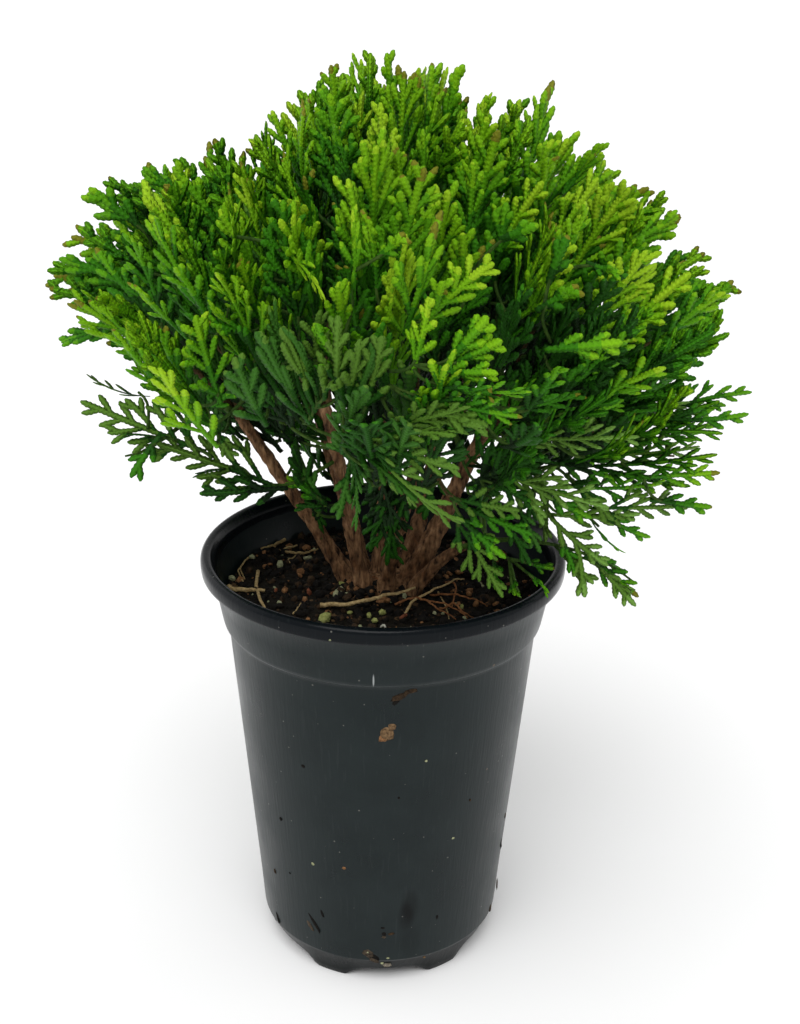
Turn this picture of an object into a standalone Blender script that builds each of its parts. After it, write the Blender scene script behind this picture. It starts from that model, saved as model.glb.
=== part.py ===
"""A globe-shaped dwarf arborvitae in a plastic nursery pot, in metres with +Z up.

The origin is under the middle of the pot, on the surface that it stands on. +X is to
the right of the view that the sizes come from, and -Y is towards that view.
The plant is built as it grows: stems leave one foot at soil level, each ends in the
crown, and there it hands over to two or three masses of flat, toothed fans.
"""

import math
import random
from collections import namedtuple

import bmesh
import bpy
import numpy as np
from mathutils import Matrix, Vector

# Pot, turned about Z
POT_HEIGHT = 0.1445
RIM_RADIUS = 0.060
RIM_DEPTH = 0.0052
RIM_ROLL = 0.0019
COLLAR_TOP_RADIUS = 0.0563
COLLAR_FOOT_RADIUS = 0.0531
STEP_HEIGHT = 0.1215
STEP_DEPTH = 0.0016
WALL_FOOT_RADIUS = 0.0427
WALL_FOOT_HEIGHT = 0.0238
FOOT_LINE_RADIUS = 0.0413
FOOT_LINE_HEIGHT = 0.0096
FOOT_RADIUS = 0.0386
WALL = 0.0011
FLOOR_TOP = 0.0052
FLOOR_LIFT = 0.0032
STAND_RADIUS = 0.027
NOTCHES = 6
NOTCH_HEIGHT = 0.0027
NOTCH_WIDTH = 0.029
NOTCH_AZIMUTH = 275.0
POT_SEGMENTS = 42

# Soil
CLEARANCE = 0.0003
SOIL_LEVEL = 0.1310
SOIL_EDGE_LEVEL = 0.1292
SOIL_FLAT_RADIUS = 0.026
SOIL_SEGMENTS = 28

# Crown: half sizes of its outline, each side its own, and how full its shoulders are
# (2 is an ellipse, 1 a straight cone)
CROWN_CENTRE = Vector((0.003, 0.0, 0.212))
CROWN_LEFT = 0.106
CROWN_RIGHT = 0.113
CROWN_FRONT = 0.098
CROWN_BACK = 0.100
CROWN_UP = 0.091
CROWN_DOWN = 0.062
FULLNESS_LEFT = 1.85
FULLNESS_RIGHT = 1.65
FULLNESS_BELOW = 2.0
LOWEST_FAN = -0.82
BARE_AZIMUTH = 245.0
FRONT_LIFT = 0.86
FAN_ORIGIN = Vector((0.0, 0.0, 0.150))
OUTER_FANS = 156
INNER_FANS = 50
INNER_REACH = 0.72

# Wood
LIMB_SIDES = 8
TWIG_SIDES = 3
FORK_HEIGHT = 0.147
FLARE = 0.55
FLARE_HEIGHT = 0.004
MOUND_RADIUS = 0.0140
MOUND_TOP_RADIUS = 0.0080
MOUND_HEIGHT = 0.0044
STEM_RADIUS = 0.0015
STEM_TIP_RADIUS = 0.0009
STEM_OVERRUN = 0.010
TWIG_RADIUS = 0.0007
TWIG_END_RADIUS = 0.00042
TWIG_SINK = 0.0030
TWIG_RISE = 0.5

# Fans
FAN_LENGTH = 0.050
FAN_WIDTH = 0.66
FROND_FANS = 6
FROND_FAN_LENGTH = 0.024
FAN_THICKNESS = 0.0010
SPACE_MARGIN = 0.0005
LIMB_MARGIN = 0.0009
FAN_MARGIN = 0.0018
RIM_MARGIN = 0.0018
SAMPLE_SPACING = 0.0014
FAN_TRIES = 24

SEED = 46

Limb = namedtuple("Limb", "foot_azimuth foot_radius azimuth radius height girth tip_girth bow")
Mass = namedtuple("Mass", "limb azimuth radius height lift turn twist")

# Azimuth 0 is +X, 90 the back, 180 the left and 270 the front; sizes in millimetres
LIMBS = {
    "left": Limb(176, 11.0, 178, 47, 190, 2.9, 2.3, 1.0),
    "front_left": Limb(222, 8.0, 216, 23, 199, 2.9, 2.3, 1.5),
    "front": Limb(276, 8.0, 292, 27, 187, 2.9, 2.3, 2.0),
    "right": Limb(352, 8.5, 2, 33, 187, 4.0, 2.8, 0.5),
    "low_right": Limb(318, 12.0, 331, 30, 152, 2.6, 2.0, 2.5),
    "top": Limb(95, 4.0, 80, 6, 232, 3.8, 2.4, 0.0),
    "back_left": Limb(140, 9.0, 128, 42, 193, 3.0, 2.4, 2.0),
    "back_right": Limb(48, 10.0, 56, 43, 191, 3.0, 2.4, 2.0),
}

# Each mass: the limb that carries it, the middle of its space, how far its fans lift
# above the straight line out of the plant, how far they turn about their own axis, and
# how much that turn varies
MASSES = {
    "top": Mass("top", 250, 8, 273, 20, 0, 80),
    "top_back": Mass("top", 92, 47, 254, 20, 30, 35),
    "top_front": Mass("front_left", 262, 44, 256, 40, 45, 30),
    "top_left": Mass("left", 180, 57, 252, 20, 0, 35),
    "top_right": Mass("right", 358, 60, 252, 20, 0, 35),
    "left": Mass("left", 178, 78, 217, 0, 0, 30),
    "low_left": Mass("left", 192, 72, 181, -25, 35, 30),
    "front_left": Mass("front_left", 230, 68, 222, 50, 50, 25),
    "front": Mass("front", 278, 66, 220, 55, -50, 25),
    "front_right": Mass("front", 322, 70, 218, 25, -45, 30),
    "front_low": Mass("front", 288, 56, 183, 0, 60, 25),
    "right": Mass("right", 0, 84, 215, 0, 0, 30),
    "low_right": Mass("right", 354, 82, 180, -15, 25, 30),
    "droop_right": Mass("low_right", 350, 74, 147, -60, 20, 20),
    "low_front_right": Mass("low_right", 322, 44, 157, -22, 50, 20),
    "back_left": Mass("back_left", 134, 72, 218, 12, 30, 30),
    "back": Mass("back_right", 92, 70, 218, 25, 45, 30),
    "back_right": Mass("back_right", 46, 75, 216, 10, -30, 30),
    "low_back_left": Mass("back_left", 142, 68, 180, -20, 30, 30),
    "low_back_right": Mass("back_right", 42, 68, 179, -20, -30, 30),
}
FRONDS = ("droop_right", "low_front_right")
MM = 0.001
UP = Vector((0.0, 0.0, 1.0))
GOLDEN_ANGLE = math.pi * (3.0 - math.sqrt(5.0))


def clear_scene():
    """Removes whatever objects the file opened with."""
    for obj in list(bpy.data.objects):
        bpy.data.objects.remove(obj)


def material(name, colour, roughness, metallic=0.0):
    """A Principled material with one colour."""
    mat = bpy.data.materials.new(name)
    mat.use_nodes = True
    shader = mat.node_tree.nodes["Principled BSDF"]
    shader.inputs["Base Color"].default_value = (*colour, 1.0)
    shader.inputs["Roughness"].default_value = roughness
    shader.inputs["Metallic"].default_value = metallic
    return mat


def add_object(name, mesh, mat, collection=None):
    """Links a mesh as an object with one material."""
    obj = bpy.data.objects.new(name, mesh)
    if mat is not None:
        mesh.materials.append(mat)
    (collection or bpy.context.scene.collection).objects.link(obj)
    return obj


def bmesh_to_mesh(name, bm):
    """Turns a bmesh into a mesh whose faces point outwards."""
    bmesh.ops.recalc_face_normals(bm, faces=bm.faces)
    mesh = bpy.data.meshes.new(name)
    bm.to_mesh(mesh)
    bm.free()
    return mesh


def polar(azimuth, radius, height):
    """A point from its azimuth in degrees, distance from the axis and height."""
    turn = math.radians(azimuth)
    return Vector((radius * math.cos(turn), radius * math.sin(turn), height))


# Pot and soil


def turned_mesh(name, profile, segments):
    """Spins a profile of (radius, height) points once round Z and closes it."""
    bm = bmesh.new()
    points = [bm.verts.new((radius, 0.0, height)) for radius, height in profile]
    edges = [bm.edges.new(pair) for pair in zip(points, points[1:])]
    if profile[0][0] > 0.0:
        edges.append(bm.edges.new((points[-1], points[0])))
    bmesh.ops.spin(
        bm, geom=points + edges, cent=(0, 0, 0), axis=(0, 0, 1), angle=math.tau, steps=segments
    )
    bmesh.ops.remove_doubles(bm, verts=bm.verts, dist=1e-6)
    return bmesh_to_mesh(name, bm)


def rim_roll():
    """The rolled rim, from inside over the top and down to its outer lower edge."""
    middle = (RIM_RADIUS - RIM_ROLL, POT_HEIGHT - RIM_ROLL)
    inner = (COLLAR_TOP_RADIUS - WALL + RIM_ROLL * 0.7, POT_HEIGHT - RIM_ROLL * 0.7)
    arc = [(inner[0] - RIM_ROLL * 0.7, inner[1] - RIM_ROLL * 0.7)]
    arc.append((inner[0], POT_HEIGHT - RIM_ROLL * 0.12))
    for degrees in (90, 55, 20):
        turn = math.radians(degrees)
        arc.append((middle[0] + RIM_ROLL * math.cos(turn), middle[1] + RIM_ROLL * math.sin(turn)))
    arc.append((RIM_RADIUS, POT_HEIGHT - RIM_DEPTH))
    return arc


def pot_profile():
    """Closed section of the pot wall, floor and rim, anticlockwise from the stand."""
    step_inner = COLLAR_FOOT_RADIUS - STEP_DEPTH
    outside = [
        (0.0, 0.0),
        (STAND_RADIUS, 0.0),
        (STAND_RADIUS + FLOOR_LIFT, FLOOR_LIFT),
        (FOOT_RADIUS - 2.4 * WALL, FLOOR_LIFT),
        (FOOT_RADIUS - 1.6 * WALL, 0.0),
        (FOOT_RADIUS - 0.3 * WALL, 0.0),
        (FOOT_LINE_RADIUS, FOOT_LINE_HEIGHT),
        (WALL_FOOT_RADIUS, WALL_FOOT_HEIGHT),
        (step_inner, STEP_HEIGHT),
        (COLLAR_FOOT_RADIUS, STEP_HEIGHT),
        (COLLAR_TOP_RADIUS, POT_HEIGHT - RIM_DEPTH * 0.9),
        (RIM_RADIUS - WALL, POT_HEIGHT - RIM_DEPTH),
    ]
    inside = [
        (COLLAR_FOOT_RADIUS - WALL, STEP_HEIGHT + 0.6 * WALL),
        (step_inner - WALL, STEP_HEIGHT - 0.6 * WALL),
        (WALL_FOOT_RADIUS - WALL, WALL_FOOT_HEIGHT),
        (FOOT_LINE_RADIUS - WALL, FOOT_LINE_HEIGHT + WALL),
        (FOOT_LINE_RADIUS - 5 * WALL, FLOOR_TOP),
        (0.0, FLOOR_TOP),
    ]
    return outside + list(reversed(rim_roll())) + inside


def build_pot(mat):
    """The pot, with the notches between its feet cut from below."""
    pot = add_object("pot", turned_mesh("pot", pot_profile(), POT_SEGMENTS), mat)
    cutters = bpy.data.collections.new("notch_cutters")
    bpy.context.scene.collection.children.link(cutters)
    for k in range(NOTCHES):
        azimuth = NOTCH_AZIMUTH + k * 360.0 / NOTCHES
        bm = bmesh.new()
        half = NOTCH_WIDTH / 2
        outline = [
            (-half, -0.002),
            (-half, 0.0),
            (-half * 0.70, NOTCH_HEIGHT * 0.85),
            (0.0, NOTCH_HEIGHT),
            (half * 0.70, NOTCH_HEIGHT * 0.85),
            (half, 0.0),
            (half, -0.002),
        ]
        inner = STAND_RADIUS + FLOOR_LIFT + 0.0013
        face = bm.faces.new([bm.verts.new((inner, y, z)) for y, z in outline])
        made = bmesh.ops.extrude_face_region(bm, geom=[face])
        moved = [v for v in made["geom"] if isinstance(v, bmesh.types.BMVert)]
        bmesh.ops.translate(bm, verts=moved, vec=(0.012, 0.0, 0.0))
        bmesh.ops.rotate(bm, verts=bm.verts, matrix=Matrix.Rotation(math.radians(azimuth), 3, "Z"))
        cutter = add_object(f"notch_cutter_{k}", bmesh_to_mesh("notch", bm), None, cutters)
        cutter.hide_render = True
        cutter.display_type = "WIRE"
    boolean = pot.modifiers.new("notches", "BOOLEAN")
    boolean.operation = "DIFFERENCE"
    boolean.operand_type = "COLLECTION"
    boolean.collection = cutters
    pot.data.shade_smooth()
    pot.data.set_sharp_from_angle(angle=math.radians(35))
    return pot


def build_soil(mat):
    """The packed soil, clear of the pot by the same small gap all round."""
    step_inner = COLLAR_FOOT_RADIUS - STEP_DEPTH
    gap = WALL + CLEARANCE * 1.6
    slope = (COLLAR_TOP_RADIUS - COLLAR_FOOT_RADIUS) / (POT_HEIGHT - STEP_HEIGHT)
    edge_radius = COLLAR_FOOT_RADIUS + slope * (SOIL_EDGE_LEVEL - STEP_HEIGHT) - gap
    profile = [
        (0.0, FLOOR_TOP + CLEARANCE),
        (FOOT_LINE_RADIUS - 5 * WALL - 2 * CLEARANCE, FLOOR_TOP + CLEARANCE),
        (FOOT_LINE_RADIUS - gap, FOOT_LINE_HEIGHT + WALL + CLEARANCE),
        (WALL_FOOT_RADIUS - gap, WALL_FOOT_HEIGHT),
        (step_inner - gap, STEP_HEIGHT - 0.6 * WALL),
        (COLLAR_FOOT_RADIUS - gap, STEP_HEIGHT + 0.6 * WALL + CLEARANCE),
        (edge_radius, SOIL_EDGE_LEVEL),
        ((edge_radius + SOIL_FLAT_RADIUS) / 2, (SOIL_LEVEL + 2 * SOIL_EDGE_LEVEL) / 3),
        (SOIL_FLAT_RADIUS, SOIL_LEVEL),
        (0.0, SOIL_LEVEL),
    ]
    soil = add_object("soil", turned_mesh("soil", profile, SOIL_SEGMENTS), mat)
    soil.data.shade_smooth()
    soil.data.set_sharp_from_angle(angle=math.radians(35))
    return soil


# Wood


def limb_path(limb, steps=40):
    """Points of a limb from soil level to its tip: a straight lean that bows upwards."""
    foot = polar(limb.foot_azimuth, limb.foot_radius * MM, SOIL_LEVEL + CLEARANCE)
    tip = polar(limb.azimuth, limb.radius * MM, limb.height * MM)
    side = (tip - foot).cross(UP).normalized()
    points = []
    for i in range(steps + 1):
        t = i / steps
        point = foot.lerp(tip, t) + UP * (limb.bow * MM * 4 * t * (1 - t))
        points.append(point + side * (limb.girth * MM * 0.25 * math.sin(math.tau * t)))
    return points


def limb_girths(limb, points):
    """Radius at each point: an even taper, with the root flare added at the soil."""
    girths = []
    for i, point in enumerate(points):
        t = i / (len(points) - 1)
        taper = (limb.girth * (1 - t) + limb.tip_girth * t) * MM
        flare = FLARE * math.exp(-(point.z - points[0].z) / FLARE_HEIGHT)
        girths.append(taper * (1 + flare))
    return girths


def frames(points, first=None):
    """A tangent and a side at each point, the side carried along without twisting."""
    tangents = []
    for i in range(len(points)):
        before = points[max(i - 1, 0)]
        after = points[min(i + 1, len(points) - 1)]
        tangents.append((after - before).normalized())
    if first is not None:
        tangents[0] = first.normalized()
    side = tangents[0].cross(Vector((0.3, 1.0, 0.1))).normalized()
    found = []
    for tangent in tangents:
        side = (side - tangent * side.dot(tangent)).normalized()
        found.append((tangent, side))
    return found


def tube_mesh(name, points, girths, sides, first=None):
    """A closed tapering tube: one ring at each point and a flat cap at each end."""
    bm = bmesh.new()
    rings = []
    for point, girth, (tangent, side) in zip(points, girths, frames(points, first)):
        other = tangent.cross(side)
        ring = []
        for k in range(sides):
            turn = math.tau * k / sides
            ring.append(bm.verts.new(point + (side * math.cos(turn) + other * math.sin(turn)) * girth))
        rings.append(ring)
    for low, high in zip(rings, rings[1:]):
        for k in range(sides):
            bm.faces.new((low[k], low[(k + 1) % sides], high[(k + 1) % sides], high[k]))
    bm.faces.new(list(reversed(rings[0])))
    bm.faces.new(rings[-1])
    return bmesh_to_mesh(name, bm)


def every(sequence, indices):
    """The members of a sequence at the given indices."""
    return [sequence[i] for i in indices]


def fork_index(points):
    """The first point of a limb that stands above the fork."""
    return next(i for i, point in enumerate(points) if point.z > FORK_HEIGHT)


def union(obj, parts, solver="EXACT"):
    """Fuses obj with every object of the collection, and drops that collection."""
    boolean = obj.modifiers.new("fuse", "BOOLEAN")
    boolean.operation = "UNION"
    boolean.operand_type = "COLLECTION"
    boolean.collection = parts
    boolean.solver = solver
    depsgraph = bpy.context.evaluated_depsgraph_get()
    fused = bpy.data.meshes.new_from_object(obj.evaluated_get(depsgraph))
    obj.modifiers.clear()
    obj.data = fused
    for part in list(parts.objects):
        bpy.data.objects.remove(part)
    bpy.data.collections.remove(parts)


def shell_volume(faces):
    """Signed volume that a set of faces closes in."""
    total = 0.0
    for face in faces:
        corners = [v.co for v in face.verts]
        for i in range(1, len(corners) - 1):
            total += corners[0].dot(corners[i].cross(corners[i + 1])) / 6.0
    return total


def keep_largest_shell(obj):
    """Drops loose scraps and fills sealed hollows: only the largest outer shell stays."""
    bm = bmesh.new()
    bm.from_mesh(obj.data)
    bmesh.ops.dissolve_degenerate(bm, edges=bm.edges, dist=1e-6)
    bmesh.ops.triangulate(bm, faces=bm.faces)
    waiting = set(bm.faces)
    shells = []
    while waiting:
        stack = [waiting.pop()]
        shell = []
        while stack:
            face = stack.pop()
            shell.append(face)
            for edge in face.edges:
                for other in edge.link_faces:
                    if other in waiting:
                        waiting.remove(other)
                        stack.append(other)
        shells.append(shell)
    shells.sort(key=shell_volume)
    for shell in shells[:-1]:
        bmesh.ops.delete(bm, geom=shell, context="FACES")
    loose = [v for v in bm.verts if not v.link_faces]
    bmesh.ops.delete(bm, geom=loose, context="VERTS")
    bm.to_mesh(obj.data)
    bm.free()


def cut_flat(obj, level):
    """Cuts off what lies below a level and closes the cut with a flat face."""
    bm = bmesh.new()
    bm.from_mesh(obj.data)
    cut = bmesh.ops.bisect_plane(
        bm, geom=list(bm.verts) + list(bm.edges) + list(bm.faces), dist=1e-7,
        plane_co=(0, 0, level), plane_no=(0, 0, 1), clear_inner=True,
    )
    edges = [e for e in cut["geom_cut"] if isinstance(e, bmesh.types.BMEdge)]
    bmesh.ops.holes_fill(bm, edges=edges, sides=0)
    bmesh.ops.recalc_face_normals(bm, faces=bm.faces)
    bm.to_mesh(obj.data)
    bm.free()


def build_trunk(mat, paths):
    """The foot of the shrub: a low mound that the feet of all the limbs grow out of."""
    mound = [
        (0.0, SOIL_LEVEL - MOUND_HEIGHT / 2),
        (MOUND_RADIUS, SOIL_LEVEL - MOUND_HEIGHT / 2),
        (MOUND_RADIUS, SOIL_LEVEL + MOUND_HEIGHT * 0.2),
        (MOUND_TOP_RADIUS, SOIL_LEVEL + MOUND_HEIGHT),
        (0.0, SOIL_LEVEL + MOUND_HEIGHT),
    ]
    trunk = add_object("trunk", turned_mesh("trunk", mound, 14), mat)
    stubs = bpy.data.collections.new("limb_feet")
    bpy.context.scene.collection.children.link(stubs)
    for name, (points, girths) in paths.items():
        fork = fork_index(points)
        low = points[0] - (points[1] - points[0]).normalized() * MOUND_HEIGHT
        middle = fork // 2
        stub_points = [low, points[0], points[middle], points[fork]]
        stub_girths = [girths[0], girths[0], girths[middle], girths[fork]]
        mesh = tube_mesh(name, stub_points, stub_girths, LIMB_SIDES)
        add_object(f"foot_{name}", mesh, None, stubs)
    union(trunk, stubs)
    keep_largest_shell(trunk)
    cut_flat(trunk, SOIL_LEVEL + CLEARANCE)
    return trunk


def build_bough(name, mat, points, girths):
    """One limb from just above the fork to its tip."""
    fork = fork_index(points)
    heading = (points[fork + 1] - points[fork]).normalized()
    start = points[fork] + heading * CLEARANCE
    last = len(points) - 1
    marks = [fork + round((last - fork) * k / 6) for k in range(1, 7)]
    bough_points = [start] + every(points, marks)
    bough_girths = [girths[fork]] + every(girths, marks)
    mesh = tube_mesh(name, bough_points, bough_girths, LIMB_SIDES, heading)
    bough = add_object(f"bough_{name}", mesh, mat)
    bough.data.shade_smooth()
    return bough


# Crown


def crown_point(direction, reach=1.0):
    """A point of the crown's rounded outline, or a share of the way out to it."""
    side = CROWN_RIGHT if direction.x > 0 else CROWN_LEFT
    depth = CROWN_BACK if direction.y > 0 else CROWN_FRONT
    flat = Vector((direction.x, direction.y)).normalized()
    if direction.z > 0:
        rise = CROWN_UP
        fullness = FULLNESS_RIGHT if direction.x > 0 else FULLNESS_LEFT
    else:
        rise = CROWN_DOWN
        fullness = FULLNESS_BELOW
    wide = (1.0 - abs(direction.z) ** fullness) ** (1.0 / fullness)
    offset = Vector((flat.x * side * wide, flat.y * depth * wide, direction.z * rise))
    return CROWN_CENTRE + offset * reach


def golden_directions(count):
    """Evenly spread directions, each a golden angle on from the last."""
    for i in range(count):
        z = 1.0 - (2.0 * i + 1.0) / count
        flat = math.sqrt(1.0 - z * z)
        turn = i * GOLDEN_ANGLE
        yield Vector((flat * math.cos(turn), flat * math.sin(turn), z))


def underside(direction):
    """Lowest direction that carries fans: the front left is bare lower down."""
    turn = math.atan2(direction.y, direction.x)
    towards_front = max(0.0, math.cos(turn - math.radians(BARE_AZIMUTH)))
    return LOWEST_FAN + FRONT_LIFT * towards_front ** 2


def hearts():
    """The middle of each mass's space."""
    return {name: polar(m.azimuth, m.radius * MM, m.height * MM) for name, m in MASSES.items()}


def inside_space(points, name, middles):
    """Whether all points, seen from the foot of the fans, lie towards this mass's middle.

    Each mass has the cone of directions that are nearer its own middle than any other,
    less a margin, so that fans which point away from the foot stay in it.
    """
    own = (middles[name] - FAN_ORIGIN).normalized()
    spots = np.array([(point - FAN_ORIGIN)[:] for point in points])
    for other_name, other in middles.items():
        if other_name == name:
            continue
        across = ((other - FAN_ORIGIN).normalized() - own).normalized()
        if np.any(spots @ np.array(across) > -SPACE_MARGIN):
            return False
    return True


def owner_of(spot, middles):
    """The mass whose cone of directions holds a spot."""
    way = spot - FAN_ORIGIN
    return max(middles, key=lambda name: (middles[name] - FAN_ORIGIN).normalized().dot(way))


def clear_of_fans(spots, grown_spots):
    """Whether a fan keeps off the fans that its mass already has."""
    if not grown_spots:
        return True
    places = np.array([spot[:] for spot in spots])
    taken = np.concatenate(grown_spots)
    apart = np.linalg.norm(places[:, None, :] - taken[None, :, :], axis=2)
    return bool(apart.min() > FAN_MARGIN)


def clear_of_pot(points):
    """Whether all points are above the rim, outside it, or inside it above the soil."""
    for point in points:
        apart = math.hypot(point.x, point.y)
        within = apart < COLLAR_FOOT_RADIUS - RIM_MARGIN and point.z > SOIL_LEVEL + RIM_MARGIN
        if point.z < POT_HEIGHT + RIM_MARGIN and apart < RIM_RADIUS + RIM_MARGIN and not within:
            return False
    return True


def clear_of_limbs(points, limbs):
    """Whether all points keep their distance from every sampled limb."""
    spots = np.array([point[:] for point in points])
    for places, girths in limbs:
        apart = np.linalg.norm(spots[:, None, :] - places[None, :, :], axis=2)
        if np.any(apart < girths[None, :] + LIMB_MARGIN):
            return False
    return True


def sampled(points, girths, spacing=0.0012):
    """A limb as close-set spheres."""
    places = []
    sizes = []
    for a, b, ra, rb in zip(points, points[1:], girths, girths[1:]):
        count = max(1, math.ceil((b - a).length / spacing))
        for k in range(count + 1):
            places.append(a.lerp(b, k / count)[:])
            sizes.append(ra + (rb - ra) * k / count)
    return np.array(places), np.array(sizes)


def stem_path(start, heading, heart, lift, steps=8):
    """A mass's stem: leaves along its limb, then turns outwards to end past the heart."""
    outward = (heart - FAN_ORIGIN + UP * (lift * MM)).normalized()
    end = heart + outward * STEM_OVERRUN
    reach = (end - start).length
    first = start + heading * (0.35 * reach)
    second = end - outward * (0.30 * reach)
    points = []
    for i in range(steps + 1):
        t = i / steps
        s = 1 - t
        points.append(start * s**3 + first * (3 * s * s * t) + second * (3 * s * t * t) + end * t**3)
    return points


def stem_paths(paths, middles):
    """Every mass's stem, starting side by side on the tip of the limb that carries it."""
    stems = {}
    for limb_name, (points, girths) in paths.items():
        tip = points[-1]
        heading = (points[-1] - points[-2]).normalized()
        side = heading.cross(UP).normalized()
        other = side.cross(heading)
        carried = [name for name, m in MASSES.items() if m.limb == limb_name]
        bearing = {}
        for name in carried:
            way = middles[name] - tip
            bearing[name] = math.atan2(way.dot(other), way.dot(side))
        carried.sort(key=bearing.get)
        count = len(carried)
        mean = sum(bearing[name] - math.tau * k / count for k, name in enumerate(carried)) / count
        for k, name in enumerate(carried):
            turn = mean + math.tau * k / count
            offset = (side * math.cos(turn) + other * math.sin(turn)) * (girths[-1] * 0.66)
            start = tip + heading * CLEARANCE + offset
            stems[name] = (stem_path(start, heading, middles[name], MASSES[name].lift), heading)
    return stems


def fan_outline(length, half_width, lean):
    """Outline of a fan: a stalk, two slanting fingers a side set alternately, and a tip."""
    stalk = 0.020 * length
    rib = 0.20 * half_width
    right = [
        (0.0, stalk),
        (0.18 * length, stalk),
        (0.56 * length, half_width),
        (0.42 * length, rib),
        (0.84 * length, 0.70 * half_width),
        (0.68 * length, rib),
    ]
    left = [
        (0.0, -stalk),
        (0.28 * length, -stalk),
        (0.70 * length, -0.92 * half_width),
        (0.54 * length, -rib),
        (0.93 * length, -0.48 * half_width),
        (0.80 * length, -rib),
    ]
    outline = right + [(length, 0.0)] + list(reversed(left))
    return [(a, b * lean) for a, b in outline]


def fan_mesh(name, outline, base, axis, lateral):
    """The flat closed blade of one fan."""
    normal = axis.cross(lateral).normalized()
    bm = bmesh.new()
    corners = [base + axis * a + lateral * b - normal * (FAN_THICKNESS / 2) for a, b in outline]
    face = bm.faces.new([bm.verts.new(corner) for corner in corners])
    made = bmesh.ops.extrude_face_region(bm, geom=[face])
    moved = [v for v in made["geom"] if isinstance(v, bmesh.types.BMVert)]
    bmesh.ops.translate(bm, verts=moved, vec=normal * FAN_THICKNESS)
    return bmesh_to_mesh(name, bm)


def run(start, end, spacing=SAMPLE_SPACING):
    """Points along a straight line, its start left out."""
    count = max(1, math.ceil((end - start).length / spacing))
    return [start.lerp(end, k / count) for k in range(1, count + 1)]


def fan_samples(outline, base, axis, lateral):
    """Points on the edge of a fan and down the middle of it and of its fingers."""
    corners = [base + axis * a + lateral * b for a, b in outline]
    tip = corners[len(corners) // 2]
    spots = run(base, tip)
    for a, b in zip(corners, corners[1:] + corners[:1]):
        spots += run(a, b)
    for finger in (2, 4, 8, 10):
        spots += run(base.lerp(tip, 0.4), corners[finger])
    return spots


def fan_lateral(axis, turn):
    """The direction across a fan: in the upright plane through its axis, then turned."""
    across = (UP - axis * UP.dot(axis)).normalized()
    return Matrix.Rotation(math.radians(turn), 3, axis) @ across


def attach(stem_points, spot, name, middles):
    """Where on the stem the twig to a spot leaves: somewhat below the nearest point."""
    inside = [p for p in stem_points if inside_space([p], name, middles)]
    if not inside:
        return None
    nearest = min(inside, key=lambda p: (p - spot).length)
    apart = (nearest - spot).length
    index = inside.index(nearest)
    while index > 0 and (inside[index] - nearest).length < TWIG_RISE * apart:
        index -= 1
    return inside[index]


def frond_targets(stem_points):
    """Fan tips of a hanging frond: alternate fans along its stem, and one at its end."""
    targets = []
    last = len(stem_points) - 1
    for k in range(FROND_FANS):
        share = 0.52 + 0.46 * k / (FROND_FANS - 1)
        place = stem_points[round(share * last)]
        along = (stem_points[last] - stem_points[last - 2]).normalized()
        across = along.cross(UP).normalized()
        side = 0.0 if k == FROND_FANS - 1 else (-1.0) ** k
        axis = (along + across * (side * 0.85) - UP * 0.12).normalized()
        length = FROND_FAN_LENGTH * (1.0 - 0.06 * k)
        targets.append((place + axis * (length + 0.003), length / FAN_LENGTH, axis))
    return targets


def crown_targets(middles, stems):
    """Each mass's fans: tip, share of the full size, and axis.

    Tips are a golden angle apart, in an outer layer on the crown's outline and an inner
    one below it, and go to the mass whose space holds them. A hanging frond has its own.
    """
    rng = random.Random(SEED)
    targets = {name: [] for name in MASSES}
    for count, reach, size in ((OUTER_FANS, 1.0, 1.0), (INNER_FANS, INNER_REACH, 0.84)):
        for direction in golden_directions(count):
            share = reach * rng.uniform(0.95, 1.0)
            if direction.z < underside(direction):
                continue
            tip = crown_point(direction, share)
            owner = owner_of(tip, middles)
            if owner in FRONDS:
                continue
            axis = (tip - FAN_ORIGIN + UP * (MASSES[owner].lift * MM)).normalized()
            targets[owner].append((tip, size, axis))
    for name in FRONDS:
        targets[name] = frond_targets(stems[name][0])
    return targets


def grow_mass(name, stem_points, middles, obstacles, targets, rng):
    """The fans of one mass and the ends of their twigs.

    A fan that would leave the mass's space or touch a limb is tried again, each time a
    little smaller, turned another way and leaning more away from the stem. After the
    last try it is skipped.
    """
    mass = MASSES[name]
    grown_spots = []
    fine = [p for a, b in zip(stem_points, stem_points[1:]) for p in run(a, b, 0.002)]
    grown = []
    for tip, size, wanted_axis in targets:
        for attempt in range(FAN_TRIES):
            give = attempt / FAN_TRIES
            length = FAN_LENGTH * size * rng.uniform(0.90, 1.08) * (1.0 - 0.42 * give)
            start = attach(fine, tip - wanted_axis * length, name, middles)
            if start is None:
                break
            axis = wanted_axis.lerp((tip - start).normalized(), give).normalized()
            turn = mass.turn * rng.choice((-1, 1)) + rng.uniform(-mass.twist, mass.twist)
            lateral = fan_lateral(axis, turn)
            base = tip - axis * length
            outline = fan_outline(length, length * FAN_WIDTH / 2, rng.choice((-1, 1)))
            end = base + axis * TWIG_SINK
            blade = fan_samples(outline, base, axis, lateral)
            spots = blade + run(start, end)
            if not inside_space(spots, name, middles):
                continue
            if attempt < FAN_TRIES * 0.75 and not clear_of_fans(blade, grown_spots):
                continue
            if clear_of_pot(spots) and clear_of_limbs(spots, obstacles):
                grown.append((outline, base, axis, lateral, start, end))
                grown_spots.append(np.array([spot[:] for spot in blade]))
                break
    return grown


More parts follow.
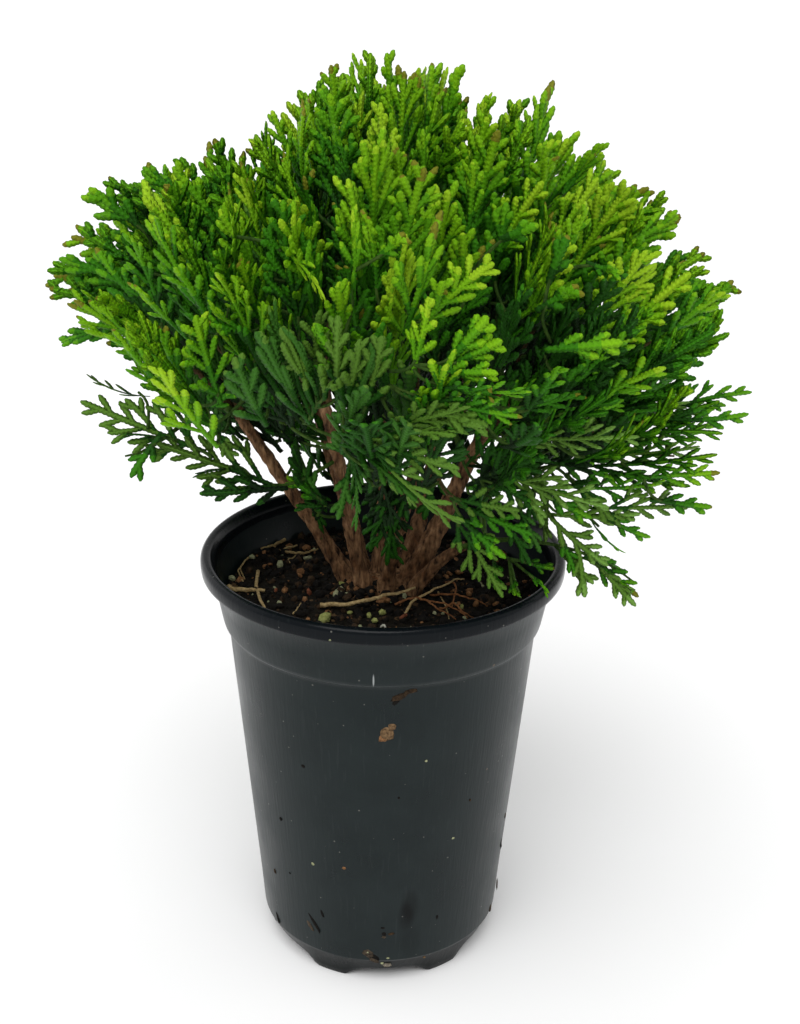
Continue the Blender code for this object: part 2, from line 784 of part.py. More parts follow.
def build_mass(name, mat, stem_points, heading, grown):
    """Fuses one mass: its stem, a three-sided twig to each fan, and the fans."""
    last = len(stem_points) - 1
    girths = [STEM_RADIUS + (STEM_TIP_RADIUS - STEM_RADIUS) * k / last for k in range(last + 1)]
    mesh = tube_mesh(name, stem_points, girths, TWIG_SIDES, heading)
    obj = add_object(f"foliage_{name}", mesh, mat)
    parts = bpy.data.collections.new(f"parts_{name}")
    bpy.context.scene.collection.children.link(parts)
    for k, (outline, base, axis, lateral, start, end) in enumerate(grown):
        add_object(f"{name}_fan_{k}", fan_mesh("fan", outline, base, axis, lateral), None, parts)
        twig = tube_mesh("twig", [start, end], [TWIG_RADIUS, TWIG_END_RADIUS], TWIG_SIDES)
        add_object(f"{name}_twig_{k}", twig, None, parts)
    union(obj, parts)
    keep_largest_shell(obj)
    return obj


def main():
    """Builds the pot, the soil, the wood and the crown."""
    clear_scene()
    plastic = material("pot_plastic", (0.022, 0.028, 0.031), 0.42)
    earth = material("potting_soil", (0.020, 0.015, 0.011), 0.95)
    bark = material("bark", (0.23, 0.12, 0.065), 0.85)
    build_pot(plastic)
    build_soil(earth)
    paths = {}
    for name, limb in LIMBS.items():
        points = limb_path(limb)
        paths[name] = (points, limb_girths(limb, points))
    build_trunk(bark, paths)
    for name, (points, girths) in paths.items():
        build_bough(name, bark, points, girths)
    middles = hearts()
    stems = stem_paths(paths, middles)
    wood = [sampled(points, girths) for points, girths in paths.values()]
    stem_samples = {}
    for name, (points, heading) in stems.items():
        stem_samples[name] = sampled(points, [STEM_RADIUS] * len(points))
    targets = crown_targets(middles, stems)
    for index, (name, (points, heading)) in enumerate(sorted(stems.items())):
        obstacles = wood + [s for other, s in stem_samples.items() if other != name]
        rng = random.Random(SEED + index)
        grown = grow_mass(name, points, middles, obstacles, targets[name], rng)
        green = material(f"foliage_{name}", (0.09, 0.26, 0.05), 0.6)
        obj = build_mass(name, green, points, heading, grown)
        print(f"{name}: {len(grown)} of {len(targets[name])} fans, {len(obj.data.polygons)} faces")


main()
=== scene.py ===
# %% [markdown]
# # A young globe arborvitae in its nursery pot
#
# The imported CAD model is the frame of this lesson: its pot, soil, trunk, eight boughs and
# twenty foliage masses say where everything is. Each step below makes one finished piece
# that stands for some of those plain solids. All sizes are in metres, +Z is up, and the
# view of the photograph looks along +Y and a little down.

# %% Load the frame
import math
import random

import bpy
import numpy as np
from mathutils import Matrix, Vector


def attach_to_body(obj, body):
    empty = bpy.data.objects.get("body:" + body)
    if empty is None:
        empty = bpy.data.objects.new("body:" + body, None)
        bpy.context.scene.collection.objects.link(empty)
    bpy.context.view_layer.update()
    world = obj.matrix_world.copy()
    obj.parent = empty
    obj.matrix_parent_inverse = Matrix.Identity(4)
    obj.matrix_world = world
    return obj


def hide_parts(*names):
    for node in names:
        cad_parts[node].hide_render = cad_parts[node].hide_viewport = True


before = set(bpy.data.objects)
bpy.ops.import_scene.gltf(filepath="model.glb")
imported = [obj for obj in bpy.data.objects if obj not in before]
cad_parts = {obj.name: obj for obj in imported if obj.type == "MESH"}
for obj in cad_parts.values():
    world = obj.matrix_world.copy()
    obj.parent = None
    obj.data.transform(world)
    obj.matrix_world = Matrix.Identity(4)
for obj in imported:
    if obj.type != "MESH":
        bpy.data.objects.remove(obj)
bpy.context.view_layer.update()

# %% [markdown]
# ## The camera
#
# The camera was fitted to three circles of the pot: its rim, the step under the rim and
# the foot. It stands half a metre away, looks 22.7 degrees down and leans by less than one
# degree. The same numbers turn a pixel of the photograph into a line of sight, which is
# how single sprays, straws and crumbs get their places further down.

# %% Camera
FOCAL_PIXELS = 1506.98
EYE = np.array((0.005304, -0.454049, 0.347260))
DOWN = 0.396175
ROLL = 0.0150453
BACK = np.array((0.0, -math.cos(DOWN), math.sin(DOWN)))
LEVEL = np.array((1.0, 0.0, 0.0))
RISE = np.cross(BACK, LEVEL)
RIGHT = math.cos(ROLL) * LEVEL + math.sin(ROLL) * RISE
ABOVE = -math.sin(ROLL) * LEVEL + math.cos(ROLL) * RISE


def sight(px, py):
    """The line of sight of a pixel: right and up by its offset over the focal length."""
    return RIGHT * ((px - 400) / FOCAL_PIXELS) - ABOVE * ((py - 512) / FOCAL_PIXELS) - BACK


def seen_at_depth(px, py, depth):
    """Where a pixel's line of sight meets the upright plane y = depth (in mm)."""
    way = sight(px, py)
    return EYE + way * ((depth * 0.001 - EYE[1]) / way[1])


def seen_at_height(px, py, height):
    """Where a pixel's line of sight meets the level plane z = height."""
    way = sight(px, py)
    return EYE + way * ((height - EYE[2]) / way[2])


camera_data = bpy.data.cameras.new("camera")
camera_data.lens = 52.98
camera_data.sensor_width = 36.0
camera_data.clip_start = 0.01
camera = bpy.data.objects.new("camera", camera_data)
bpy.context.scene.collection.objects.link(camera)
camera.matrix_world = Matrix(
    [[RIGHT[i], ABOVE[i], BACK[i], EYE[i]] for i in range(3)] + [[0.0, 0.0, 0.0, 1.0]]
)
bpy.context.scene.camera = camera
print("camera looks at", np.round(seen_at_depth(400, 512, 0), 4))

# %% [markdown]
# ## Light and floor
#
# The plant stands on a pale floor in a soft white studio. An even white sky lights it from
# all round, and a very wide, soft light from above the viewer's left shoulder gives the
# leaves a bright side and leaves the inside of the crown dark. Because that light is a sun
# and not a lamp, it falls off nowhere and the floor stays evenly pale to the horizon.

# %% Light
world = bpy.data.worlds.new("studio")
world.use_nodes = True
world.node_tree.nodes["Background"].inputs["Color"].default_value = (1.0, 1.0, 1.0, 1.0)
world.node_tree.nodes["Background"].inputs["Strength"].default_value = 0.60
bpy.context.scene.world = world
bpy.context.scene.view_settings.view_transform = "Standard"


def sunlight(name, towards, spread, strength):
    """Even light from one side of the sky, softened over a spread of degrees."""
    data = bpy.data.lights.new(name, "SUN")
    data.angle = math.radians(spread)
    data.energy = strength
    obj = bpy.data.objects.new(name, data)
    bpy.context.scene.collection.objects.link(obj)
    obj.matrix_world = Vector(towards).to_track_quat("Z", "Y").to_matrix().to_4x4()
    return obj


sunlight("window", (-0.12, -0.52, 1.0), 46.0, 1.95)
sunlight("left_wall", (-1.0, 0.45, 0.30), 70.0, 0.62)
sunlight("right_wall", (1.0, 0.40, 0.35), 70.0, 0.34)

# %% [markdown]
# ## Small tools for meshes
#
# Every new piece is a surface computed as whole arrays: a path with a ring of points round
# each of its points, or a profile turned round the pot's axis. A list of four-cornered and
# three-cornered faces then goes into one mesh at once, which is far quicker than adding
# faces one by one.

# %% Mesh tools
MM = 0.001
TAU = math.tau


def unit(rows):
    """Each row divided by its own length."""
    rows = np.asarray(rows, float)
    return rows / np.maximum(np.linalg.norm(rows, axis=-1, keepdims=True), 1e-12)


def mesh_piece(name, spots, quads, tris, quad_slots, tri_slots, materials, uvs=None, smooth=True):
    """A mesh object from arrays: points, faces of four and three corners, their slots, and
    a UV pair for each point if the finish follows the surface."""
    quads = np.asarray(quads, np.int32).reshape(-1, 4)
    tris = np.asarray(tris, np.int32).reshape(-1, 3)
    corners = np.concatenate([quads.ravel(), tris.ravel()])
    starts = np.concatenate([np.arange(len(quads)) * 4, quads.size + np.arange(len(tris)) * 3])
    slots = np.concatenate([
        np.broadcast_to(quad_slots, len(quads)), np.broadcast_to(tri_slots, len(tris))
    ])
    mesh = bpy.data.meshes.new(name)
    mesh.vertices.add(len(spots))
    mesh.vertices.foreach_set("co", np.asarray(spots, np.float32).ravel())
    mesh.loops.add(len(corners))
    mesh.loops.foreach_set("vertex_index", corners.astype(np.int32))
    mesh.polygons.add(len(starts))
    mesh.polygons.foreach_set("loop_start", starts.astype(np.int32))
    for mat in materials:
        mesh.materials.append(mat)
    mesh.polygons.foreach_set("material_index", slots.astype(np.int32))
    if uvs is not None:
        layer = mesh.uv_layers.new(name="shoot")
        layer.data.foreach_set("uv", uvs[corners].astype(np.float32).ravel())
    mesh.update(calc_edges=True)
    mesh.validate()
    if smooth:
        mesh.shade_smooth()
    obj = bpy.data.objects.new(name, mesh)
    bpy.context.scene.collection.objects.link(obj)
    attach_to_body(obj, "root")
    return obj


def join(parts):
    """Several (points, quads, tris) joined into one, each part's numbers moved on."""
    spots = np.concatenate([p[0] for p in parts])
    moves = np.cumsum([0] + [len(p[0]) for p in parts[:-1]])
    quads = np.concatenate([np.asarray(p[1], int).reshape(-1, 4) + m for p, m in zip(parts, moves)])
    tris = np.concatenate([np.asarray(p[2], int).reshape(-1, 3) + m for p, m in zip(parts, moves)])
    return spots, quads, tris


def ring_faces(rows, sides):
    """Faces between neighbouring rings of equally many points, closed round each ring."""
    i, k = np.meshgrid(np.arange(rows - 1), np.arange(sides), indexing="ij")
    j = (k + 1) % sides
    quads = np.stack([i * sides + k, i * sides + j, (i + 1) * sides + j, (i + 1) * sides + k], -1)
    return quads.reshape(-1, 4)


def tube(points, radii, sides):
    """A closed tube: at each path point a ring, radius times cos and sin of the turn.

    Radii are one number for each point, or one for each point and side. The rings hang on
    a fixed direction that the path is least along, and each end closes on a middle point.
    """
    points = np.asarray(points, float)
    radii = np.asarray(radii, float)
    radii = radii[:, None] if radii.ndim == 1 else radii
    along = unit(np.gradient(points, axis=0))
    aside = np.eye(3)[np.argmin(np.abs(along.mean(0)))]
    side = unit(aside - along * (along @ aside)[:, None])
    other = np.cross(along, side)
    turn = np.arange(sides) * TAU / sides
    ring = side[:, None] * np.cos(turn)[:, None] + other[:, None] * np.sin(turn)[:, None]
    spots = (points[:, None] + ring * radii[..., None]).reshape(-1, 3)
    count = len(spots)
    spots = np.concatenate([spots, points[:1], points[-1:]])
    k = np.arange(sides)
    j = (k + 1) % sides
    foot = np.stack([np.full(sides, count), j, k], -1)
    top = np.stack([np.full(sides, count + 1), count - sides + k, count - sides + j], -1)
    return spots, ring_faces(len(points), sides), np.concatenate([foot, top])


def turned(radii, heights, segments):
    """A profile turned round Z. Its first and last points lie on the axis and close it."""
    turn = np.arange(segments) * TAU / segments
    radii, heights = np.asarray(radii, float), np.asarray(heights, float)
    ring = np.stack([np.cos(turn), np.sin(turn), np.zeros(segments)], -1)
    spots = ring[None] * radii[1:-1, None, None]
    spots[..., 2] = heights[1:-1, None]
    count = spots.shape[0] * segments
    ends = np.array([[0, 0, heights[0]], [0, 0, heights[-1]]])
    k = np.arange(segments)
    j = (k + 1) % segments
    low = np.stack([np.full(segments, count), j, k], -1)
    high = np.stack([np.full(segments, count + 1), count - segments + k, count - segments + j], -1)
    spots = np.concatenate([spots.reshape(-1, 3), ends])
    return spots, ring_faces(len(radii) - 2, segments), np.concatenate([low, high])


def waves(x, y, seed, count, longest, shortest):
    """Uneven ground from -1 to 1: a sum of plane waves of random heading and length."""
    rng = np.random.default_rng(seed)
    heading = rng.uniform(0, TAU, count)
    length = longest * (shortest / longest) ** rng.uniform(0, 1, count)
    phase = rng.uniform(0, TAU, count)
    x, y = np.asarray(x)[..., None], np.asarray(y)[..., None]
    swing = np.sin((x * np.cos(heading) + y * np.sin(heading)) * TAU / length + phase)
    return (swing * length ** 0.5).sum(-1) / (length ** 0.5).sum() * 1.8


# %% [markdown]
# ## Small tools for materials
#
# Two effects are needed by more than one finish, so each is a node group with named
# sockets. *Mottle* is a soft uneven mask, for faded and dirty patches and for grain.
# *Specks* is a mask of small round dots of uneven size, for dust on plastic and pale
# grains in soil. *Mark* is one soft blot with a place and a size of its own.

# %% Node tools
def node(tree, kind, values=None, **settings):
    """One node: settings are its own options, and values fill or link its inputs."""
    made = tree.nodes.new(kind)
    for key, value in settings.items():
        setattr(made, key, value)
    for key, value in (values or {}).items():
        if isinstance(value, bpy.types.NodeSocket):
            tree.links.new(value, made.inputs[key])
        else:
            made.inputs[key].default_value = value
    return made


def new_group(name, inputs, outputs):
    """An empty node group with named inputs and outputs, as (name, socket type, value)."""
    tree = bpy.data.node_groups.new(name, "ShaderNodeTree")
    for label, kind, value in inputs:
        made = tree.interface.new_socket(label, in_out="INPUT", socket_type=kind)
        if value is not None:
            made.default_value = value
    for label, kind in outputs:
        tree.interface.new_socket(label, in_out="OUTPUT", socket_type=kind)
    return tree, tree.nodes.new("NodeGroupInput"), tree.nodes.new("NodeGroupOutput")


def mottle_group():
    """Mask = noise of the given scale, spread so that its middle half fills 0 to 1."""
    tree, given, out = new_group(
        "mottle",
        [("Vector", "NodeSocketVector", None), ("Scale", "NodeSocketFloat", 100.0),
         ("Detail", "NodeSocketFloat", 4.0)],
        [("Mask", "NodeSocketFloat")],
    )
    noise = node(tree, "ShaderNodeTexNoise", {
        "Vector": given.outputs["Vector"], "Scale": given.outputs["Scale"],
        "Detail": given.outputs["Detail"], "Roughness": 0.6,
    })
    spread = node(tree, "ShaderNodeMapRange", {
        "Value": noise.outputs["Fac"], "From Min": 0.32, "From Max": 0.68,
    })
    tree.links.new(spread.outputs["Result"], out.inputs["Mask"])
    return tree


def specks_group():
    """Mask = 1 near the middle of a cell, for the share of the cells that carry a speck."""
    tree, given, out = new_group(
        "specks",
        [("Vector", "NodeSocketVector", None), ("Scale", "NodeSocketFloat", 300.0),
         ("Size", "NodeSocketFloat", 0.25), ("Share", "NodeSocketFloat", 0.2)],
        [("Mask", "NodeSocketFloat")],
    )
    cells = node(tree, "ShaderNodeTexVoronoi", {
        "Vector": given.outputs["Vector"], "Scale": given.outputs["Scale"],
    })
    chosen = node(tree, "ShaderNodeSeparateColor", {"Color": cells.outputs["Color"]})
    wide = node(tree, "ShaderNodeMath", {
        0: chosen.outputs["Green"], 1: given.outputs["Size"],
    }, operation="MULTIPLY")
    near = node(tree, "ShaderNodeMath", {
        0: cells.outputs["Distance"], 1: wide.outputs["Value"],
    }, operation="LESS_THAN")
    carries = node(tree, "ShaderNodeMath", {
        0: chosen.outputs["Red"], 1: given.outputs["Share"],
    }, operation="LESS_THAN")
    both = node(tree, "ShaderNodeMath", {
        0: near.outputs["Value"], 1: carries.outputs["Value"],
    }, operation="MULTIPLY")
    tree.links.new(both.outputs["Value"], out.inputs["Mask"])
    return tree


def mark_group():
    """Mask = 1 at the centre, falling to 0 where the offset over the size reaches 1."""
    tree, given, out = new_group(
        "mark",
        [("Vector", "NodeSocketVector", None), ("Centre", "NodeSocketVector", None),
         ("Size", "NodeSocketVector", (0.01, 0.01, 0.01))],
        [("Mask", "NodeSocketFloat")],
    )
    offset = node(tree, "ShaderNodeVectorMath", {
        0: given.outputs["Vector"], 1: given.outputs["Centre"],
    }, operation="SUBTRACT")
    shrunk = node(tree, "ShaderNodeVectorMath", {
        0: offset.outputs["Vector"], 1: given.outputs["Size"],
    }, operation="DIVIDE")
    apart = node(tree, "ShaderNodeVectorMath", {0: shrunk.outputs["Vector"]}, operation="LENGTH")
    fall = node(tree, "ShaderNodeMapRange", {
        "Value": apart.outputs["Value"], "From Min": 1.0, "From Max": 0.4,
    }, interpolation_type="SMOOTHSTEP")
    tree.links.new(fall.outputs["Result"], out.inputs["Mask"])
    return tree


MOTTLE, SPECKS, MARK = mottle_group(), specks_group(), mark_group()


def place_group(tree, group, values):
    """Places a node group in a material and fills its inputs."""
    made = tree.nodes.new("ShaderNodeGroup")
    made.node_tree = group
    for key, value in values.items():
        if isinstance(value, bpy.types.NodeSocket):
            tree.links.new(value, made.inputs[key])
        else:
            made.inputs[key].default_value = value
    return made.outputs["Mask"]


def mix(tree, mask, low, high):
    """Colour that goes from low to high as the mask goes from 0 to 1."""
    made = node(tree, "ShaderNodeMix", {0: mask, 6: low, 7: high}, data_type="RGBA")
    return made.outputs[2]


def between(tree, mask, low, high):
    """Number that goes from low to high as the mask goes from 0 to 1."""
    made = node(tree, "ShaderNodeMapRange", {"Value": mask, "To Min": low, "To Max": high})
    return made.outputs["Result"]


def seen(red, green, blue):
    """A colour given as it looks on a screen, 0 to 255, as linear light with alpha."""
    share = np.array((red, green, blue)) / 255.0
    linear = np.where(share <= 0.04045, share / 12.92, ((share + 0.055) / 1.055) ** 2.4)
    return (*[float(x) for x in linear], 1.0)


def finish(name, specular=0.5):
    """A new material: its node tree, its shader and its Object coordinates."""
    mat = bpy.data.materials.new(name)
    mat.use_nodes = True
    tree = mat.node_tree
    shader = tree.nodes["Principled BSDF"]
    shader.inputs["Specular IOR Level"].default_value = specular
    place = tree.nodes.new("ShaderNodeTexCoord").outputs["Object"]
    return mat, tree, shader, place


def stretched(tree, place, scale):
    """Object coordinates stretched along the axes, for grain that runs one way."""
    return node(tree, "ShaderNodeMapping", {"Vector": place, "Scale": scale}).outputs["Vector"]


def bump(tree, shader, height, distance, strength=1.0):
    """Joins a height to the shader's normal, as a relief of the given depth."""
    made = node(tree, "ShaderNodeBump", {
        "Height": height, "Distance": distance, "Strength": strength,
    })
    tree.links.new(made.outputs["Normal"], shader.inputs["Normal"])


# %% Floor
floor_mat, tree, shader, place = finish("studio_floor", 0.2)
mask = place_group(tree, MOTTLE, {"Vector": place, "Scale": 3.0, "Detail": 2.0})
tree.links.new(mix(tree, mask, (0.915, 0.915, 0.915, 1), (0.925, 0.925, 0.925, 1)), shader.inputs["Base Color"])
shader.inputs["Roughness"].default_value = 0.9
floor_mesh = bpy.data.meshes.new("floor")
floor_mesh.from_pydata([(-9, -9, 0), (9, -9, 0), (9, 9, 0), (-9, 9, 0)], [], [(0, 1, 2, 3)])
floor_mesh.materials.append(floor_mat)
floor = bpy.data.objects.new("floor", floor_mesh)
bpy.context.scene.collection.objects.link(floor)

# %% [markdown]
# ## The pot
#
# A thin moulded pot: a rolled rim, a collar, a small step inwards, a wall that tapers to a
# foot line, and a foot with six shallow notches. It could be carved with booleans as the
# CAD solid is, but a turned grid needs none: the profile goes once round the axis in many
# fine steps, and the foot's lowest points are simply lifted near each notch.

# %% Pot profile
POT_HEIGHT = 0.1445
RIM_RADIUS = 0.060
RIM_DEPTH = 0.0052
RIM_ROLL = 0.0019
COLLAR_TOP_RADIUS = 0.0563
COLLAR_FOOT_RADIUS = 0.0531
STEP_HEIGHT = 0.1215
STEP_DEPTH = 0.0016
WALL_FOOT_RADIUS = 0.0427
WALL_FOOT_HEIGHT = 0.0238
FOOT_LINE_RADIUS = 0.0413
FOOT_LINE_HEIGHT = 0.0096
FOOT_RADIUS = 0.0386
WALL = 0.0011
FLOOR_TOP = 0.0052
FLOOR_LIFT = 0.0032
STAND_RADIUS = 0.027
NOTCHES = 6
NOTCH_HEIGHT = 0.0039
NOTCH_WIDTH = 0.029
NOTCH_AZIMUTH = 275.0


def pot_profile():
    """Section of floor, wall and rim from under the middle, outside and up, and back inside."""
    step = COLLAR_FOOT_RADIUS - STEP_DEPTH
    rim_foot = POT_HEIGHT - RIM_DEPTH
    outside = [
        (0.0, 0.0), (STAND_RADIUS - 0.0004, 0.0), (STAND_RADIUS, 0.0),
        (STAND_RADIUS + FLOOR_LIFT, FLOOR_LIFT), (FOOT_RADIUS - 2.4 * WALL, FLOOR_LIFT),
        (FOOT_RADIUS - 1.6 * WALL, 0.0), (FOOT_RADIUS - 0.3 * WALL, 0.0),
        (FOOT_RADIUS - 0.05 * WALL, 0.0004), (FOOT_RADIUS + 0.0006, 0.0026),
        (FOOT_LINE_RADIUS - 0.0003, FOOT_LINE_HEIGHT - 0.0008),
        (FOOT_LINE_RADIUS + 0.0002, FOOT_LINE_HEIGHT - 0.0001),
        (FOOT_LINE_RADIUS + 0.0003, FOOT_LINE_HEIGHT + 0.0006),
        (FOOT_LINE_RADIUS + 0.0007, 0.0150), (WALL_FOOT_RADIUS, WALL_FOOT_HEIGHT),
    ]
    for share in np.linspace(0.1, 0.98, 12):
        outside.append((
            WALL_FOOT_RADIUS + (step - WALL_FOOT_RADIUS) * share,
            WALL_FOOT_HEIGHT + (STEP_HEIGHT - WALL_FOOT_HEIGHT) * share,
        ))
    outside += [
        (step + 0.0001, STEP_HEIGHT - 0.0007), (step + 0.0006, STEP_HEIGHT - 0.0001),
        (COLLAR_FOOT_RADIUS - 0.0005, STEP_HEIGHT + 0.0001),
        (COLLAR_FOOT_RADIUS - 0.0001, STEP_HEIGHT + 0.0005),
        (COLLAR_FOOT_RADIUS + 0.0002, STEP_HEIGHT + 0.0016),
        (COLLAR_FOOT_RADIUS * 0.5 + COLLAR_TOP_RADIUS * 0.5, (STEP_HEIGHT + rim_foot) / 2),
        (COLLAR_TOP_RADIUS - 0.0002, rim_foot - 0.0006),
        (COLLAR_TOP_RADIUS + 0.0005, rim_foot + 0.0001),
        (RIM_RADIUS - 1.3 * WALL, rim_foot + 0.0002), (RIM_RADIUS - 0.6 * WALL, rim_foot),
        (RIM_RADIUS - 0.2 * WALL, rim_foot + 0.0002), (RIM_RADIUS - 0.0001, rim_foot + 0.0008),
        (RIM_RADIUS, rim_foot + 0.0018),
    ]
    for degrees in (0, 20, 40, 60, 80, 100, 122, 146, 168):
        turn = math.radians(degrees)
        outside.append((
            RIM_RADIUS - RIM_ROLL + RIM_ROLL * math.cos(turn),
            POT_HEIGHT - RIM_ROLL + RIM_ROLL * math.sin(turn),
        ))
    inside = [
        (COLLAR_TOP_RADIUS - WALL + 0.0004, POT_HEIGHT - 0.0022),
        (COLLAR_TOP_RADIUS - WALL, POT_HEIGHT - 0.0036),
        (COLLAR_FOOT_RADIUS - WALL, STEP_HEIGHT + 0.6 * WALL),
        (step - WALL, STEP_HEIGHT - 0.6 * WALL), (WALL_FOOT_RADIUS - WALL, WALL_FOOT_HEIGHT),
        (FOOT_LINE_RADIUS - WALL, FOOT_LINE_HEIGHT + WALL),
        (FOOT_LINE_RADIUS - 5 * WALL, FLOOR_TOP), (0.0, FLOOR_TOP),
    ]
    return np.array(outside + inside).T


def lift_notches(spots):
    """Raises the foot near each notch: height times one minus the fourth power of the
    distance along the foot over half the notch's width."""
    x, y, z = spots.T
    azimuth = np.degrees(np.arctan2(y, x))
    spacing = 360.0 / NOTCHES
    off = np.abs((azimuth - NOTCH_AZIMUTH + spacing / 2) % spacing - spacing / 2)
    share = np.radians(off) * FOOT_RADIUS / (NOTCH_WIDTH / 2)
    lift = NOTCH_HEIGHT * np.clip(1.0 - share ** 4, 0.0, 1.0)
    foot = np.hypot(x, y) > FOOT_RADIUS - 2.0 * WALL
    low = np.minimum(1.0, z / 0.0070)
    spots[:, 2] = np.where(foot, z + lift * (1.0 - low), z)
    return spots


# %% [markdown]
# ### Black plastic
#
# The plastic is a charcoal with a breath of blue-green, satin, and paler where it is seen
# at a low angle. Handling has left fine upright scratches, dust, a few damp-looking
# smudges low down and one pale scratch under the rim. Each is a mask over the same colour;
# the haze also varies the roughness, the scratches press a fine relief in and the smudges shine less. Each is a mask
# over the same colour,
# and the same masks roughen the surface, because dust and scratches scatter light.

# %% Pot material
plastic, tree, shader, place = finish("pot_plastic", 0.20)
haze = place_group(tree, MOTTLE, {"Vector": place, "Scale": 45.0, "Detail": 5.0})
scratch_place = stretched(tree, place, (900.0, 900.0, 14.0))
scratch = place_group(tree, MOTTLE, {"Vector": scratch_place, "Scale": 1.0, "Detail": 2.0})
dust = place_group(tree, SPECKS, {"Vector": place, "Scale": 620.0, "Size": 0.20, "Share": 0.09})
grime = place_group(tree, SPECKS, {"Vector": place, "Scale": 230.0, "Size": 0.20, "Share": 0.035})
smudges = [place_group(tree, MARK, {"Vector": place, "Centre": tuple(seen_at_depth(px, py, -40)), "Size": size})
           for px, py, size in ((410, 902, (0.0038, 0.02, 0.0094)), (406, 913, (0.0034, 0.02, 0.0084)),
                                (410, 940, (0.0046, 0.02, 0.0100)))]
faint = node(tree, "ShaderNodeMath", {0: smudges[2], 1: 0.2}, operation="MULTIPLY").outputs[0]
smudge = node(tree, "ShaderNodeMath", {0: smudges[0], 1: smudges[1]}, operation="ADD").outputs[0]
smudge = node(tree, "ShaderNodeMath", {0: smudge, 1: 0.42}, operation="MULTIPLY").outputs[0]
smudge = node(tree, "ShaderNodeMath", {0: smudge, 1: faint}, operation="MAXIMUM").outputs[0]
line_at = seen_at_depth(373.5, 680, -53)
line = place_group(tree, MARK, {"Vector": place, "Centre": tuple(line_at), "Size": (0.00035, 0.02, 0.0030)})
level = node(tree, "ShaderNodeSeparateXYZ", {"Vector": place}).outputs["Z"]


def band(low, high, soft):
    """1 at heights from low to high, falling to 0 over a soft distance on both sides."""
    rise = node(tree, "ShaderNodeMapRange", {"Value": level, "From Min": low - soft, "From Max": low})
    fall = node(tree, "ShaderNodeMapRange", {"Value": level, "From Min": high + soft, "From Max": high})
    both = {0: rise.outputs["Result"], 1: fall.outputs["Result"]}
    return node(tree, "ShaderNodeMath", both, operation="MULTIPLY").outputs[0]


rim = band(POT_HEIGHT - RIM_DEPTH, POT_HEIGHT + 0.001, 0.0008)
step_line = node(tree, "ShaderNodeMath", {0: band(STEP_HEIGHT - 0.0002, STEP_HEIGHT + 0.0003, 0.0003), 1: haze},
                 operation="MULTIPLY").outputs[0]
colour = mix(tree, haze, (0.0024, 0.0072, 0.0078, 1), (0.0062, 0.0124, 0.0130, 1))
# Painted shade: the rim band gets a darker navy colour for the shade of the crown above it.
colour = mix(tree, rim, colour, (0.0030, 0.0046, 0.0062, 1))
colour = mix(tree, step_line, colour, (0.085, 0.095, 0.095, 1))
# Painted shade: the band from the foot line down gets a darker colour, and further on less shine, for the shade low on
# the pot.
foot = band(-0.001, FOOT_LINE_HEIGHT - 0.0004, 0.0005)
colour = mix(tree, foot, colour, (0.0012, 0.0032, 0.0034, 1))
foot_line = node(tree, "ShaderNodeMath", {0: band(FOOT_LINE_HEIGHT - 0.0001, FOOT_LINE_HEIGHT + 0.0002, 0.0002), 1: haze},
                 operation="MULTIPLY").outputs[0]
colour = mix(tree, foot_line, colour, (0.060, 0.062, 0.062, 1))
thin = between(tree, scratch, -0.95, 0.22)
colour = mix(tree, node(tree, "ShaderNodeClamp", {"Value": thin}).outputs["Result"], colour, (0.020, 0.026, 0.027, 1))
colour = mix(tree, smudge, colour, (0.0004, 0.0008, 0.0009, 1))
colour = mix(tree, grime, colour, (0.075, 0.058, 0.040, 1))
colour = mix(tree, dust, colour, (0.10, 0.10, 0.09, 1))
colour = mix(tree, line, colour, (0.30, 0.32, 0.32, 1))
tree.links.new(colour, shader.inputs["Base Color"])
dull = between(tree, haze, 0.26, 0.40)
gloss = node(tree, "ShaderNodeMath", {0: rim, 1: -0.14, 2: dull}, operation="MULTIPLY_ADD").outputs[0]
tree.links.new(gloss, shader.inputs["Roughness"])
shine = node(tree, "ShaderNodeMath", {0: rim, 1: -0.09, 2: 0.20}, operation="MULTIPLY_ADD").outputs[0]
shine = node(tree, "ShaderNodeMath", {0: foot, 1: -0.10, 2: shine}, operation="MULTIPLY_ADD").outputs[0]
shine = node(tree, "ShaderNodeMath", {0: smudge, 1: -0.09, 2: shine}, operation="MULTIPLY_ADD").outputs[0]
tree.links.new(shine, shader.inputs["Specular IOR Level"])
bump(tree, shader, scratch, 0.00004, 0.6)

# %% Pot mesh
radii, heights = pot_profile()
spots, quads, tris = turned(radii, heights, 168)
pot = mesh_piece("pot_turned", lift_notches(spots), quads, tris, 0, 0, [plastic])
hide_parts("pot")
print("pot faces", len(pot.data.polygons))

# %% [markdown]
# ## The soil
#
# Dark peaty mix, lower than the rim, slightly heaped round the stems. Its body is a turned
# profile that fills the pot, and the top is pushed up and down by a sum of waves of many
# lengths, which looks like settled crumbs. Loose crumbs, bark chips and pale grains then
# lie on it. Each crumb is a twenty-faced solid with its corners pushed about, which is
# enough at this size because there are many hundreds of them.

# %% Soil surface
CLEARANCE = 0.0003
SOIL_LEVEL = 0.1310
SOIL_EDGE_LEVEL = 0.1292
SOIL_EDGE_RADIUS = 0.0525


def soil_height(x, y):
    """Level at the middle, falling to the edge with the square of the radius, plus waves."""
    share = np.clip(np.hypot(x, y) / SOIL_EDGE_RADIUS, 0, 1)
    level = SOIL_LEVEL - (SOIL_LEVEL - SOIL_EDGE_LEVEL) * share ** 2
    coarse = waves(x, y, 1, 14, 0.030, 0.008) * 0.0008
    fine = waves(x, y, 2, 40, 0.006, 0.0014) * 0.0007
    return level + coarse + fine


